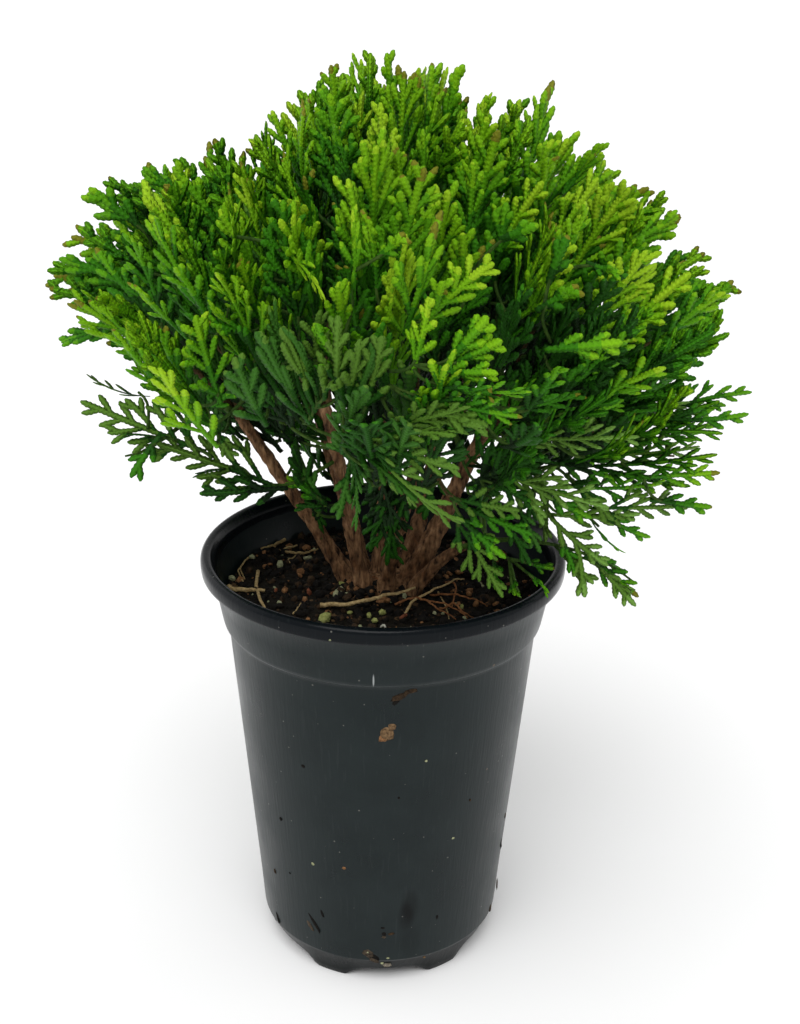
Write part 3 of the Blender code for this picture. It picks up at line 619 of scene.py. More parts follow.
step_inner = COLLAR_FOOT_RADIUS - STEP_DEPTH
gap = WALL + 0.0005
top_radii = np.linspace(SOIL_EDGE_RADIUS, 0.0, 76)
soil_radii = np.concatenate([[
    0.0, FOOT_LINE_RADIUS - 5 * WALL - 0.0006, FOOT_LINE_RADIUS - gap, WALL_FOOT_RADIUS - gap,
    step_inner - gap, COLLAR_FOOT_RADIUS - gap, SOIL_EDGE_RADIUS,
], top_radii[1:]])
soil_heights = np.concatenate([[
    FLOOR_TOP + CLEARANCE, FLOOR_TOP + CLEARANCE, FOOT_LINE_HEIGHT + WALL + CLEARANCE,
    WALL_FOOT_HEIGHT, STEP_HEIGHT - 0.6 * WALL, STEP_HEIGHT + 0.6 * WALL + CLEARANCE,
    SOIL_EDGE_LEVEL - 0.0012,
], np.full(75, SOIL_LEVEL)])
spots, quads, tris = turned(soil_radii, soil_heights, 220)
surface = spots[:, 2] > SOIL_LEVEL - 1e-6
spots[surface, 2] = soil_height(spots[surface, 0], spots[surface, 1])

# %% Soil material
earth, tree, shader, place = finish("potting_soil", 0.08)
clods = place_group(tree, MOTTLE, {"Vector": place, "Scale": 260.0, "Detail": 6.0})
grit = place_group(tree, SPECKS, {"Vector": place, "Scale": 600.0, "Size": 0.45, "Share": 0.035})
fibre = place_group(tree, SPECKS, {"Vector": place, "Scale": 380.0, "Size": 0.6, "Share": 0.07})
colour = mix(tree, clods, (0.0016, 0.0015, 0.0012, 1), (0.016, 0.013, 0.009, 1))
colour = mix(tree, fibre, colour, (0.085, 0.052, 0.026, 1))
colour = mix(tree, grit, colour, (0.085, 0.080, 0.055, 1))
tree.links.new(colour, shader.inputs["Base Color"])
tree.links.new(between(tree, clods, 0.75, 0.98), shader.inputs["Roughness"])
bump(tree, shader, clods, 0.0008)
soil = mesh_piece("soil_surface", spots, quads, tris, 0, 0, [earth])
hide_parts("soil")
print("soil faces", len(soil.data.polygons))

# %% Loose crumbs
def crumb_finish(name, dark, light, rough):
    """A dull grainy finish between two colours."""
    mat, tree, shader, place = finish(name, 0.12)
    grain = place_group(tree, MOTTLE, {"Vector": place, "Scale": 900.0, "Detail": 4.0})
    tree.links.new(mix(tree, grain, dark, light), shader.inputs["Base Color"])
    tree.links.new(between(tree, grain, rough, 0.95), shader.inputs["Roughness"])
    bump(tree, shader, grain, 0.0003)
    return mat


CRUMB_FINISHES = [
    crumb_finish("crumb_black", (0.0016, 0.0015, 0.0013, 1), (0.012, 0.010, 0.008, 1), 0.7),
    crumb_finish("crumb_brown", (0.010, 0.0065, 0.004, 1), (0.060, 0.036, 0.019, 1), 0.8),
    crumb_finish("crumb_chip", seen(92, 62, 38), seen(150, 110, 74), 0.75),
    crumb_finish("crumb_pale", seen(120, 124, 92), seen(176, 178, 140), 0.7),
]
GOLD = (1 + 5 ** 0.5) / 2
ICO_SPOTS = unit(np.array([
    (-1, GOLD, 0), (1, GOLD, 0), (-1, -GOLD, 0), (1, -GOLD, 0), (0, -1, GOLD), (0, 1, GOLD),
    (0, -1, -GOLD), (0, 1, -GOLD), (GOLD, 0, -1), (GOLD, 0, 1), (-GOLD, 0, -1), (-GOLD, 0, 1),
]))
ICO_FACES = np.array([
    (0, 11, 5), (0, 5, 1), (0, 1, 7), (0, 7, 10), (0, 10, 11), (1, 5, 9), (5, 11, 4),
    (11, 10, 2), (10, 7, 6), (7, 1, 8), (3, 9, 4), (3, 4, 2), (3, 2, 6), (3, 6, 8), (3, 8, 9),
    (4, 9, 5), (2, 4, 11), (6, 2, 10), (8, 6, 7), (9, 8, 1),
])


def random_turns(rng, count):
    """Random rotations: the rows of each matrix from two random directions by cross product."""
    first = unit(rng.normal(size=(count, 3)))
    third = unit(np.cross(first, unit(rng.normal(size=(count, 3)))))
    return np.stack([first, np.cross(third, first), third], 1)


def crumbs(places, sizes, flatness, seed):
    """Solids of twenty faces: corners pushed in or out, squashed, turned and moved."""
    rng = np.random.default_rng(seed)
    count = len(places)
    shape = ICO_SPOTS[None] * rng.uniform(0.72, 1.2, (count, 12, 1))
    shape = shape * (np.array((1.0, 0.8, 1.0)) * np.stack([np.ones(count), np.ones(count), flatness], -1))[:, None]
    shape = np.einsum("nij,nkj->nki", random_turns(rng, count), shape) * sizes[:, None, None]
    faces = ICO_FACES[None] + (np.arange(count) * 12)[:, None, None]
    return (shape + places[:, None]).reshape(-1, 3), faces.reshape(-1, 3)


rng = np.random.default_rng(7)
CRUMBS = 2900
reach = (SOIL_EDGE_RADIUS - 0.0012) * np.sqrt(rng.uniform(0, 1, CRUMBS))
reach[:600] = rng.uniform(0.0105, 0.0165, 600)
azimuth = rng.uniform(0, TAU, CRUMBS)
x, y = reach * np.cos(azimuth), reach * np.sin(azimuth)
sizes = 0.00045 + 0.0019 * rng.power(0.28, CRUMBS)
kinds = rng.choice(4, CRUMBS, p=(0.66, 0.25, 0.06, 0.03))
heap = np.interp(reach, (0.0100, 0.0125, 0.0150, 0.0170), (0.0026, 0.0020, 0.0008, 0.0))
places = np.stack([x, y, soil_height(x, y) + heap + sizes * 0.15], -1)
spots, tris = crumbs(places, sizes, rng.uniform(0.35, 0.9, CRUMBS), 8)
loose = mesh_piece("soil_crumbs", spots, [], tris, 0, np.repeat(kinds, 20), CRUMB_FINISHES)
print("crumbs", CRUMBS)

# %% [markdown]
# ## The growing rule
#
# The plant is grown again here by the rule that made the CAD solids, so the fine shoots
# sit where the plain fans sit. Limbs lean out from one foot and bow. Each ends in stems,
# one for each foliage mass. The tips of the fans lie a golden angle apart on the crown's
# outline. A fan that would leave its mass's share of the crown or touch a limb is tried
# again smaller, and skipped after the last try.

# %% Numbers of the rule
CROWN_CENTRE = Vector((0.003, 0.0, 0.212))
CROWN_LEFT, CROWN_RIGHT = 0.106, 0.113
CROWN_FRONT, CROWN_BACK = 0.098, 0.100
CROWN_UP, CROWN_DOWN = 0.091, 0.062
FULLNESS_LEFT, FULLNESS_RIGHT, FULLNESS_BELOW = 1.85, 1.65, 2.0
LOWEST_FAN = -0.82
BARE_AZIMUTH = 245.0
FRONT_LIFT = 0.86
FAN_ORIGIN = Vector((0.0, 0.0, 0.150))
OUTER_FANS, INNER_FANS, INNER_REACH = 156, 50, 0.72
FORK_HEIGHT = 0.147
FLARE, FLARE_HEIGHT = 0.55, 0.004
STEM_RADIUS, STEM_TIP_RADIUS, STEM_OVERRUN = 0.0015, 0.0009, 0.010
TWIG_RISE, TWIG_SINK = 0.5, 0.0030
FAN_LENGTH, FAN_WIDTH = 0.050, 0.66
FROND_FANS, FROND_FAN_LENGTH = 6, 0.024
SPACE_MARGIN, LIMB_MARGIN, FAN_MARGIN = 0.0005, 0.0009, 0.0018
RIM_MARGIN, SAMPLE_SPACING, FAN_TRIES = 0.0018, 0.0014, 24
SEED = 46
UP = Vector((0.0, 0.0, 1.0))
GOLDEN_ANGLE = math.pi * (3.0 - math.sqrt(5.0))

# A limb: foot azimuth and radius, tip azimuth, radius and height, girths, bow (degrees, mm)
LIMBS = {
    "left": (176, 11.0, 178, 47, 190, 2.9, 2.3, 1.0),
    "front_left": (222, 8.0, 216, 23, 199, 2.9, 2.3, 1.5),
    "front": (276, 8.0, 292, 27, 187, 2.9, 2.3, 2.0),
    "right": (352, 8.5, 2, 33, 187, 4.0, 2.8, 0.5),
    "low_right": (318, 12.0, 331, 30, 152, 2.6, 2.0, 2.5),
    "top": (95, 4.0, 80, 6, 232, 3.8, 2.4, 0.0),
    "back_left": (140, 9.0, 128, 42, 193, 3.0, 2.4, 2.0),
    "back_right": (48, 10.0, 56, 43, 191, 3.0, 2.4, 2.0),
}
# A mass: its limb, its middle's azimuth, radius and height, and the lift, turn and twist of
# its fans
MASSES = {
    "top": ("top", 250, 8, 273, 20, 0, 80),
    "top_back": ("top", 92, 47, 254, 20, 30, 35),
    "top_front": ("front_left", 262, 44, 256, 40, 45, 30),
    "top_left": ("left", 180, 57, 252, 20, 0, 35),
    "top_right": ("right", 358, 60, 252, 20, 0, 35),
    "left": ("left", 178, 78, 217, 0, 0, 30),
    "low_left": ("left", 192, 72, 181, -25, 35, 30),
    "front_left": ("front_left", 230, 68, 222, 50, 50, 25),
    "front": ("front", 278, 66, 220, 55, -50, 25),
    "front_right": ("front", 322, 70, 218, 25, -45, 30),
    "front_low": ("front", 288, 56, 183, 0, 60, 25),
    "right": ("right", 0, 84, 215, 0, 0, 30),
    "low_right": ("right", 354, 82, 180, -15, 25, 30),
    "droop_right": ("low_right", 350, 74, 147, -60, 20, 20),
    "low_front_right": ("low_right", 322, 44, 157, -22, 50, 20),
    "back_left": ("back_left", 134, 72, 218, 12, 30, 30),
    "back": ("back_right", 92, 70, 218, 25, 45, 30),
    "back_right": ("back_right", 46, 75, 216, 10, -30, 30),
    "low_back_left": ("back_left", 142, 68, 180, -20, 30, 30),
    "low_back_right": ("back_right", 42, 68, 179, -20, -30, 30),
}
FRONDS = ("droop_right", "low_front_right")


def polar(azimuth, radius, height):
    """A point from its azimuth in degrees, distance from the axis and height."""
    turn = math.radians(azimuth)
    return Vector((radius * math.cos(turn), radius * math.sin(turn), height))


# %% Limbs
def limb_path(limb, steps=40):
    """A straight lean from foot to tip, plus a bow of 4t(1-t) and a slight sideways wave."""
    foot_azimuth, foot_radius, azimuth, radius, height, girth, tip_girth, bow = limb
    foot = polar(foot_azimuth, foot_radius * MM, SOIL_LEVEL + CLEARANCE)
    tip = polar(azimuth, radius * MM, height * MM)
    side = (tip - foot).cross(UP).normalized()
    points = []
    for i in range(steps + 1):
        t = i / steps
        point = foot.lerp(tip, t) + UP * (bow * MM * 4 * t * (1 - t))
        points.append(point + side * (girth * MM * 0.25 * math.sin(TAU * t)))
    return points


def limb_girths(limb, points):
    """Radius at each point: an even taper times one plus a flare that fades upwards."""
    girths = []
    for i, point in enumerate(points):
        t = i / (len(points) - 1)
        taper = (limb[5] * (1 - t) + limb[6] * t) * MM
        girths.append(taper * (1 + FLARE * math.exp(-(point.z - points[0].z) / FLARE_HEIGHT)))
    return girths


def stem_path(start, heading, heart, lift, steps=8):
    """A cubic curve that leaves along its limb and ends outwards, past the mass's middle."""
    outward = (heart - FAN_ORIGIN + UP * (lift * MM)).normalized()
    end = heart + outward * STEM_OVERRUN
    reach = (end - start).length
    first = start + heading * (0.35 * reach)
    second = end - outward * (0.30 * reach)
    points = []
    for i in range(steps + 1):
        t = i / steps
        s = 1 - t
        points.append(start * s**3 + first * (3 * s * s * t) + second * (3 * s * t * t) + end * t**3)
    return points


def stem_paths(paths, middles):
    """Every mass's stem, starting side by side on the tip of the limb that carries it."""
    stems = {}
    for limb_name, (points, girths) in paths.items():
        tip = points[-1]
        heading = (points[-1] - points[-2]).normalized()
        side = heading.cross(UP).normalized()
        other = side.cross(heading)
        carried = [name for name, m in MASSES.items() if m[0] == limb_name]
        bearing = {}
        for name in carried:
            way = middles[name] - tip
            bearing[name] = math.atan2(way.dot(other), way.dot(side))
        carried.sort(key=bearing.get)
        count = len(carried)
        mean = sum(bearing[name] - TAU * k / count for k, name in enumerate(carried)) / count
        for k, name in enumerate(carried):
            turn = mean + TAU * k / count
            offset = (side * math.cos(turn) + other * math.sin(turn)) * (girths[-1] * 0.66)
            start = tip + heading * CLEARANCE + offset
            stems[name] = (stem_path(start, heading, middles[name], MASSES[name][4]), heading)
    return stems


paths = {}
for name, limb in LIMBS.items():
    points = limb_path(limb)
    paths[name] = (points, limb_girths(limb, points))
middles = {name: polar(m[1], m[2] * MM, m[3] * MM) for name, m in MASSES.items()}
stems = stem_paths(paths, middles)
print("limbs", len(paths), "stems", len(stems))

# %% Places of the fans
def crown_point(direction, reach=1.0):
    """A point of the crown's outline. At the share z of the way up or down, it is
    (1 - z^f)^(1/f) of its full width, where f is the fullness of that side's shoulder."""
    side = CROWN_RIGHT if direction.x > 0 else CROWN_LEFT
    depth = CROWN_BACK if direction.y > 0 else CROWN_FRONT
    flat = Vector((direction.x, direction.y)).normalized()
    if direction.z > 0:
        rise = CROWN_UP
        fullness = FULLNESS_RIGHT if direction.x > 0 else FULLNESS_LEFT
    else:
        rise = CROWN_DOWN
        fullness = FULLNESS_BELOW
    wide = (1.0 - abs(direction.z) ** fullness) ** (1.0 / fullness)
    offset = Vector((flat.x * side * wide, flat.y * depth * wide, direction.z * rise))
    return CROWN_CENTRE + offset * reach


def golden_directions(count):
    """Evenly spread directions, each a golden angle on from the last."""
    for i in range(count):
        z = 1.0 - (2.0 * i + 1.0) / count
        flat = math.sqrt(1.0 - z * z)
        turn = i * GOLDEN_ANGLE
        yield Vector((flat * math.cos(turn), flat * math.sin(turn), z))


def underside(direction):
    """Lowest direction that carries fans: the front left is bare lower down."""
    turn = math.atan2(direction.y, direction.x)
    towards_front = max(0.0, math.cos(turn - math.radians(BARE_AZIMUTH)))
    return LOWEST_FAN + FRONT_LIFT * towards_front ** 2


def borders(name):
    """The planes between a mass's cone of directions and each other mass's."""
    own = (middles[name] - FAN_ORIGIN).normalized()
    rows = []
    for other_name, other in middles.items():
        if other_name != name:
            rows.append(((other - FAN_ORIGIN).normalized() - own).normalized()[:])
    return np.array(rows)


BORDERS = {name: borders(name) for name in MASSES}


def inside_space(points, name):
    """Whether all points, seen from the foot of the fans, lie in this mass's cone."""
    spots = np.array([(point - FAN_ORIGIN)[:] for point in points])
    return not np.any(spots @ BORDERS[name].T > -SPACE_MARGIN)


def owner_of(spot):
    """The mass whose cone of directions holds a spot."""
    way = spot - FAN_ORIGIN
    return max(middles, key=lambda name: (middles[name] - FAN_ORIGIN).normalized().dot(way))


def clear_of_pot(points):
    """Whether all points are above the rim, outside it, or inside it above the soil."""
    for point in points:
        apart = math.hypot(point.x, point.y)
        within = apart < COLLAR_FOOT_RADIUS - RIM_MARGIN and point.z > SOIL_LEVEL + RIM_MARGIN
        if point.z < POT_HEIGHT + RIM_MARGIN and apart < RIM_RADIUS + RIM_MARGIN and not within:
            return False
    return True


def sampled(points, girths, spacing=0.0012):
    """A limb as close-set spheres: places and sizes."""
    rows = []
    for a, b, ra, rb in zip(points, points[1:], girths, girths[1:]):
        count = max(1, math.ceil((b - a).length / spacing))
        for k in range(count + 1):
            rows.append((*a.lerp(b, k / count), ra + (rb - ra) * k / count))
    return np.array(rows)


def clear_of_limbs(spots, limbs):
    """Whether all points keep their distance from every sampled limb."""
    apart = np.linalg.norm(spots[:, None, :] - limbs[None, :, :3], axis=2)
    return not np.any(apart < limbs[None, :, 3] + LIMB_MARGIN)


def fan_outline(length, half_width, lean):
    """Outline of a fan: a stalk, two slanting fingers a side set alternately, and a tip."""
    stalk, rib = 0.020 * length, 0.20 * half_width
    right = [
        (0.0, stalk), (0.18 * length, stalk), (0.56 * length, half_width), (0.42 * length, rib),
        (0.84 * length, 0.70 * half_width), (0.68 * length, rib),
    ]
    left = [
        (0.0, -stalk), (0.28 * length, -stalk), (0.70 * length, -0.92 * half_width),
        (0.54 * length, -rib), (0.93 * length, -0.48 * half_width), (0.80 * length, -rib),
    ]
    return [(a, b * lean) for a, b in right + [(length, 0.0)] + list(reversed(left))]


def run(start, end, spacing=SAMPLE_SPACING):
    """Points along a straight line, its start left out."""
    count = max(1, math.ceil((end - start).length / spacing))
    return [start.lerp(end, k / count) for k in range(1, count + 1)]


def fan_samples(outline, base, axis, lateral):
    """Points on the edge of a fan and down the middle of it and of its fingers."""
    corners = [base + axis * a + lateral * b for a, b in outline]
    tip = corners[len(corners) // 2]
    spots = run(base, tip)
    for a, b in zip(corners, corners[1:] + corners[:1]):
        spots += run(a, b)
    for finger in (2, 4, 8, 10):
        spots += run(base.lerp(tip, 0.4), corners[finger])
    return spots


def fan_lateral(axis, turn):
    """The direction across a fan: in the upright plane through its axis, then turned."""
    across = (UP - axis * UP.dot(axis)).normalized()
    return Matrix.Rotation(math.radians(turn), 3, axis) @ across


def attach(stem_points, spot, name):
    """Where on the stem the twig to a spot leaves: somewhat below the nearest point."""
    inside = [p for p in stem_points if inside_space([p], name)]
    if not inside:
        return None
    nearest = min(inside, key=lambda p: (p - spot).length)
    apart = (nearest - spot).length
    index = inside.index(nearest)
    while index > 0 and (inside[index] - nearest).length < TWIG_RISE * apart:
        index -= 1
    return inside[index]


def frond_targets(stem_points):
    """Fan tips of a hanging frond: alternate fans along its stem, and one at its end."""
    targets = []
    last = len(stem_points) - 1
    for k in range(FROND_FANS):
        share = 0.52 + 0.46 * k / (FROND_FANS - 1)
        place = stem_points[round(share * last)]
        along = (stem_points[last] - stem_points[last - 2]).normalized()
        across = along.cross(UP).normalized()
        side = 0.0 if k == FROND_FANS - 1 else (-1.0) ** k
        axis = (along + across * (side * 0.85) - UP * 0.12).normalized()
        length = FROND_FAN_LENGTH * (1.0 - 0.06 * k)
        targets.append((place + axis * (length + 0.003), length / FAN_LENGTH, axis))
    return targets


def crown_targets():
    """Each mass's fans: tip, share of the full size, and axis, in two layers."""
    rng = random.Random(SEED)
    targets = {name: [] for name in MASSES}
    for count, reach, size in ((OUTER_FANS, 1.0, 1.0), (INNER_FANS, INNER_REACH, 0.84)):
        for direction in golden_directions(count):
            share = reach * rng.uniform(0.95, 1.0)
            if direction.z < underside(direction):
                continue
            tip = crown_point(direction, share)
            owner = owner_of(tip)
            if owner in FRONDS:
                continue
            axis = (tip - FAN_ORIGIN + UP * (MASSES[owner][4] * MM)).normalized()
            targets[owner].append((tip, size, axis))
    for name in FRONDS:
        targets[name] = frond_targets(stems[name][0])
    return targets


# %% Grow the fans
def grow_mass(name, stem_points, obstacles, targets, rng):
    """The fans of one mass, each tried again smaller and turned while it does not fit."""
    turn_by, twist = MASSES[name][5:]
    grown_spots = []
    fine = [p for a, b in zip(stem_points, stem_points[1:]) for p in run(a, b, 0.002)]
    grown = []
    for tip, size, wanted_axis in targets:
        for attempt in range(FAN_TRIES):
            give = attempt / FAN_TRIES
            length = FAN_LENGTH * size * rng.uniform(0.90, 1.08) * (1.0 - 0.42 * give)
            start = attach(fine, tip - wanted_axis * length, name)
            if start is None:
                break
            axis = wanted_axis.lerp((tip - start).normalized(), give).normalized()
            turn = turn_by * rng.choice((-1, 1)) + rng.uniform(-twist, twist)
            lateral = fan_lateral(axis, turn)
            base = tip - axis * length
            outline = fan_outline(length, length * FAN_WIDTH / 2, rng.choice((-1, 1)))
            blade = fan_samples(outline, base, axis, lateral)
            spots = blade + run(start, base + axis * TWIG_SINK)
            if not inside_space(spots, name):
                continue
            blade_spots = np.array([spot[:] for spot in blade])
            if attempt < FAN_TRIES * 0.75 and grown_spots:
                apart = blade_spots[:, None] - np.concatenate(grown_spots)[None]
                if np.linalg.norm(apart, axis=2).min() <= FAN_MARGIN:
                    continue
            if clear_of_pot(spots) and clear_of_limbs(np.array([s[:] for s in spots]), obstacles):
                grown.append((base, axis, lateral, length, start))
                grown_spots.append(blade_spots)
                break
    return grown


wood = [sampled(points, girths) for points, girths in paths.values()]
stem_samples = {n: sampled(p, [STEM_RADIUS] * len(p)) for n, (p, _) in stems.items()}
targets = crown_targets()
fans = {}
for index, (name, (points, heading)) in enumerate(sorted(stems.items())):
    obstacles = np.concatenate(wood + [s for n, s in stem_samples.items() if n != name])
    fans[name] = grow_mass(name, points, obstacles, targets[name], random.Random(SEED + index))
print("fans", {name: len(grown) for name, grown in fans.items()})

# %% [markdown]
# ## Finer sprays
#
# Between the fans of the CAD model the real crown carries many smaller ones. They follow
# the same rule with more and shorter fans in layers further in, and each grows out of the
# nearest stem or fan rib. A few sprays that give the photographed side its
# face are placed by their pixels: a foot, a tip, how far towards the viewer each is, and a
# turn about the spray's own axis.

# %% Place the sprays
TONES = ("shade", "deep", "blue", "grey", "mid", "fresh", "bright", "lime", "brown", "sage")
# Niches in the right half of the front, in pixels: left, right, top, bottom. Sprays there get darker tones, which is
# painted shade.
SHADED_NICHES = ((462, 640, 250, 425), (455, 570, 425, 500))


def pixel_of(spot):
    """The pixel of a point: focal length times its offset over its distance."""
    way = np.asarray(spot) - EYE
    far = -way @ BACK
    return 400 + FOCAL_PIXELS * (way @ RIGHT) / far, 512 - FOCAL_PIXELS * (way @ ABOVE) / far


def tone_at(tip, layer, rng):
    """A spray's tone from its place: pale and yellow high up and to the right, blue green
    in the middle of the front, grey green low down, and dark inside and in the front's niches
    as painted shade."""
    px, py = pixel_of(tip)
    niche = tip[1] < -0.02 and any(a < px < b and c < py < d for a, b, c, d in SHADED_NICHES)
    if layer == 2:
        return rng.choice(("shade", "deep", "deep", "mid"))
    if layer == 1:
        return rng.choice(("shade", "deep", "deep", "mid") if niche else ("deep", "mid", "blue", "mid"))
    height = (tip[2] - CROWN_CENTRE.z) / CROWN_UP
    if tip[1] < -0.03 and -0.050 < tip[0] < 0.012 and 0.160 < tip[2] < 0.240:
        return rng.choice(("blue", "blue", "mid", "deep"))
    if height < -0.25:
        if niche:
            return rng.choice(("deep", "mid", "blue", "mid"))
        return rng.choice(("mid", "deep", "blue", "grey") if tip[0] < 0 else ("mid", "fresh", "sage", "fresh"))
    if tip[0] < -0.050:
        high = ("bright", "fresh", "bright", "bright", "lime", "fresh")
        return rng.choice(high if height > 0.05 else ("fresh", "mid", "fresh", "bright", "bright", "deep"))
    if niche:
        return rng.choice(("deep", "mid", "deep", "mid", "fresh"))
    if height > 0.35 or tip[0] < -0.028 and height > 0.05:
        return rng.choice(("bright", "bright", "bright", "lime", "fresh"))
    if tip[0] > 0.045:
        return rng.choice(("fresh", "bright", "bright", "fresh", "mid"))
    return rng.choice(("fresh", "bright", "mid", "mid", "fresh"))


def habit_of(tip, rng):
    """Narrow tufts high up and in the middle of the front, open fronds low down."""
    height = (tip[2] - CROWN_CENTRE.z) / CROWN_UP
    if height < -0.12:
        return rng.choice(("frond", "frond", "fan"))
    if tip[1] < -0.045 and abs(tip[0]) < 0.05:
        return rng.choice(("tuft", "tuft", "fan"))
    return rng.choice(("fan", "tuft", "fan"))


# The crown's edge in the photograph, in pixels: its left and right end at each of some
# rows and its lower end at each of some columns. The low fronds that pass it are placed
EDGE_ROWS = (60, 90, 120, 150, 180, 210, 250, 290, 330, 350, 370, 390, 410)
EDGE_LEFT = (330, 300, 262, 205, 135, 98, 60, 60, 90, 136, 152, 160, 170)
EDGE_RIGHT = (465, 520, 560, 610, 655, 680, 700, 733, 722, 705, 705, 690, 650)
EDGE_COLUMNS = (60, 100, 130, 165, 200, 240, 280, 330, 400, 460, 520, 560, 620, 690, 735)
EDGE_BELOW = (335, 345, 375, 400, 412, 425, 452, 480, 500, 510, 490, 450, 425, 395, 350)
EDGE_ABOVE = (255, 196, 190, 168, 162, 146, 154, 114, 98, 66, 58, 58, 74, 68, 98, 110, 92, 150, 156, 192, 196, 250, 290)
# Places where the photograph looks deep into the crown, in pixels: column, row, radius
HOLLOWS = ((468, 316, 24), (514, 352, 28), (368, 304, 16), (280, 282, 15), (506, 284, 22), (522, 416, 16))


def within_edge(spot, slack=5):
    """Whether a point lies inside the crown's edge as the photograph shows it."""
    px, py = pixel_of(spot)
    left, right = np.interp(py, EDGE_ROWS, EDGE_LEFT), np.interp(py, EDGE_ROWS, EDGE_RIGHT)
    below = np.interp(px, EDGE_COLUMNS, EDGE_BELOW)
    above = np.interp(px, range(60, 721, 30), EDGE_ABOVE)
    return left - slack < px < right + slack and above - slack < py < below + slack


# Stretches of stem that show between the leaves, and the gap beside the left one, in
# pixels: two ends and half a width
VIEWS = (((332, 392), (328, 478), 11), ((248, 420), (280, 484), 13), ((242, 402), (249, 438), 8),
         ((238, 450), (256, 464), 11), ((284, 490), (335, 565), 12),
         ((332, 505), (356, 570), 8), ((474, 446), (455, 500), 9), ((450, 505), (402, 585), 12))


def in_hollow(spot):
    """Whether a point on the near side of the crown covers one of the deep places."""
    px, py = pixel_of(spot)
    return spot[1] < -0.03 and any(math.hypot(px - a, py - b) < r for a, b, r in HOLLOWS)


def hides_stem(base, tip):
    """Whether a spray crosses, at half or more of its length, a stretch of stem that shows."""
    for share in (0.3, 0.5, 0.7, 0.85, 1.0):
        spot = base + (tip - base) * share
        px, py = pixel_of(spot)
        for (ax, ay), (bx, by), half in VIEWS:
            along = ((px - ax) * (bx - ax) + (py - ay) * (by - ay)) / ((bx - ax) ** 2 + (by - ay) ** 2)
            along = min(1.0, max(0.0, along))
            if spot[1] < -0.004 and math.hypot(px - ax - along * (bx - ax), py - ay - along * (by - ay)) < half:
                return True
    return False


EDGE_TRIES = (1.0, 0.92, 0.84, 0.76, 0.68, 0.60)
DROOP_END = 640


def faced(tip, axis, lateral):
    """Turns a spray that the viewer would see edge on by up to 40 degrees about its axis."""
    view = unit(EYE - tip)
    best, facing = lateral, abs(np.cross(axis, lateral) @ view)
    for turn in (-40, -20, 20, 40):
        if facing > 0.4:
            break
        other = np.array(Matrix.Rotation(math.radians(turn), 3, Vector(axis)) @ Vector(lateral))
        if abs(np.cross(axis, other) @ view) > facing:
            best, facing = other, abs(np.cross(axis, other) @ view)
    return best


def sprays_of_fans():
    """One spray for each fan of the CAD model, shortened where it would pass the edge."""
    rng = random.Random(SEED)
    rows = {name: [] for name in MASSES}
    for name, grown in fans.items():
        for base, axis, lateral, length, start in grown:
            shares = [s for s in EDGE_TRIES if within_edge(base + axis * (length * s))]
            if name in FRONDS:
                shares = [0.62]
            if not shares or hides_stem(np.array(base), np.array(base + axis * (length * shares[0]))):
                continue
            length = length * shares[0]
            tip = np.array(base + axis * length)
            inner = np.linalg.norm((tip - np.array(CROWN_CENTRE)) / (0.105, 0.1, 0.085)) < 0.80
            lateral = faced(tip, np.array(axis), np.array(lateral))
            tone, habit = tone_at(tip, 1 if inner else 0, rng), habit_of(tip, rng)
            if name not in FRONDS or pixel_of(tip)[0] < DROOP_END:
                rows[name].append((np.array(base), np.array(axis), lateral, length, np.array(start), tone, habit))
    return rows


def wood_of(name, rows):
    """Points on a mass's stem and along its fans' middle ribs, which finer twigs leave."""
    spots = [stem_samples[name][:, :3]]
    for base, axis, lateral, length, start, tone, habit in rows:
        share = np.linspace(0.0, 0.45, 8)[:, None]
        spots.append(base + axis * length * share)
        spots.append(start + (base - start) * np.linspace(0.2, 1.0, 6)[:, None])
    return np.concatenate(spots)


def nearest_wood(spots, base, axis):
    """The wood a spray's stalk leaves: the nearest, wood ahead of its foot counting as farther."""
    below = spots - base
    ahead = np.maximum(0, below @ axis + 0.004)
    return spots[np.argmin(np.linalg.norm(below, axis=1) + 1.2 * ahead)]


FINER_LAYERS = ((400, 0.985, 0.031, 0), (240, 0.80, 0.034, 1), (190, 0.60, 0.036, 2))


def finer_sprays(rows):
    """Adds shorter sprays in three layers, tips a golden angle apart in each."""
    rng = random.Random(SEED + 100)
    spots = np.concatenate([wood_of(name, rows[name]) for name in MASSES])
    added = 0
    for count, reach, length, layer in FINER_LAYERS:
        for direction in golden_directions(count):
            if direction.z < underside(direction) + 0.05:
                continue
            tip = crown_point(direction, reach * rng.uniform(0.92, 1.0))
            owner = owner_of(tip)
            if owner in FRONDS:
                continue
            lift, turn_by, twist = MASSES[owner][4:]
            wild = Vector([rng.uniform(-1, 1) for _ in range(3)]) * 0.16
            axis = ((tip - FAN_ORIGIN + UP * (lift * MM)).normalized() + wild).normalized()
            size = length * rng.uniform(0.75, 1.15)
            turn = turn_by * rng.choice((-1, 1)) + rng.uniform(-twist, twist) * 1.5
            lateral = fan_lateral(axis, turn)
            base = tip - axis * size
            if not clear_of_pot([base, tip, tip - axis * size * 0.5]) or not within_edge(tip):
                continue
            if layer == 0 and in_hollow(tip) or direction.z < -0.2 and rng.random() < 0.4:
                continue
            if hides_stem(np.array(base), np.array(tip)):
                continue
            start = nearest_wood(spots, np.array(base), np.array(axis))
            if hides_stem(start, np.array(base)) and np.linalg.norm(start - np.array(base)) > 0.009:
                continue
            lateral = faced(np.array(tip), np.array(axis), np.array(lateral))
            rows[owner].append((np.array(base), np.array(axis), lateral, size, start,
                                tone_at(np.array(tip), layer, rng), habit_of(tip, rng)))
            added += 1
    return added


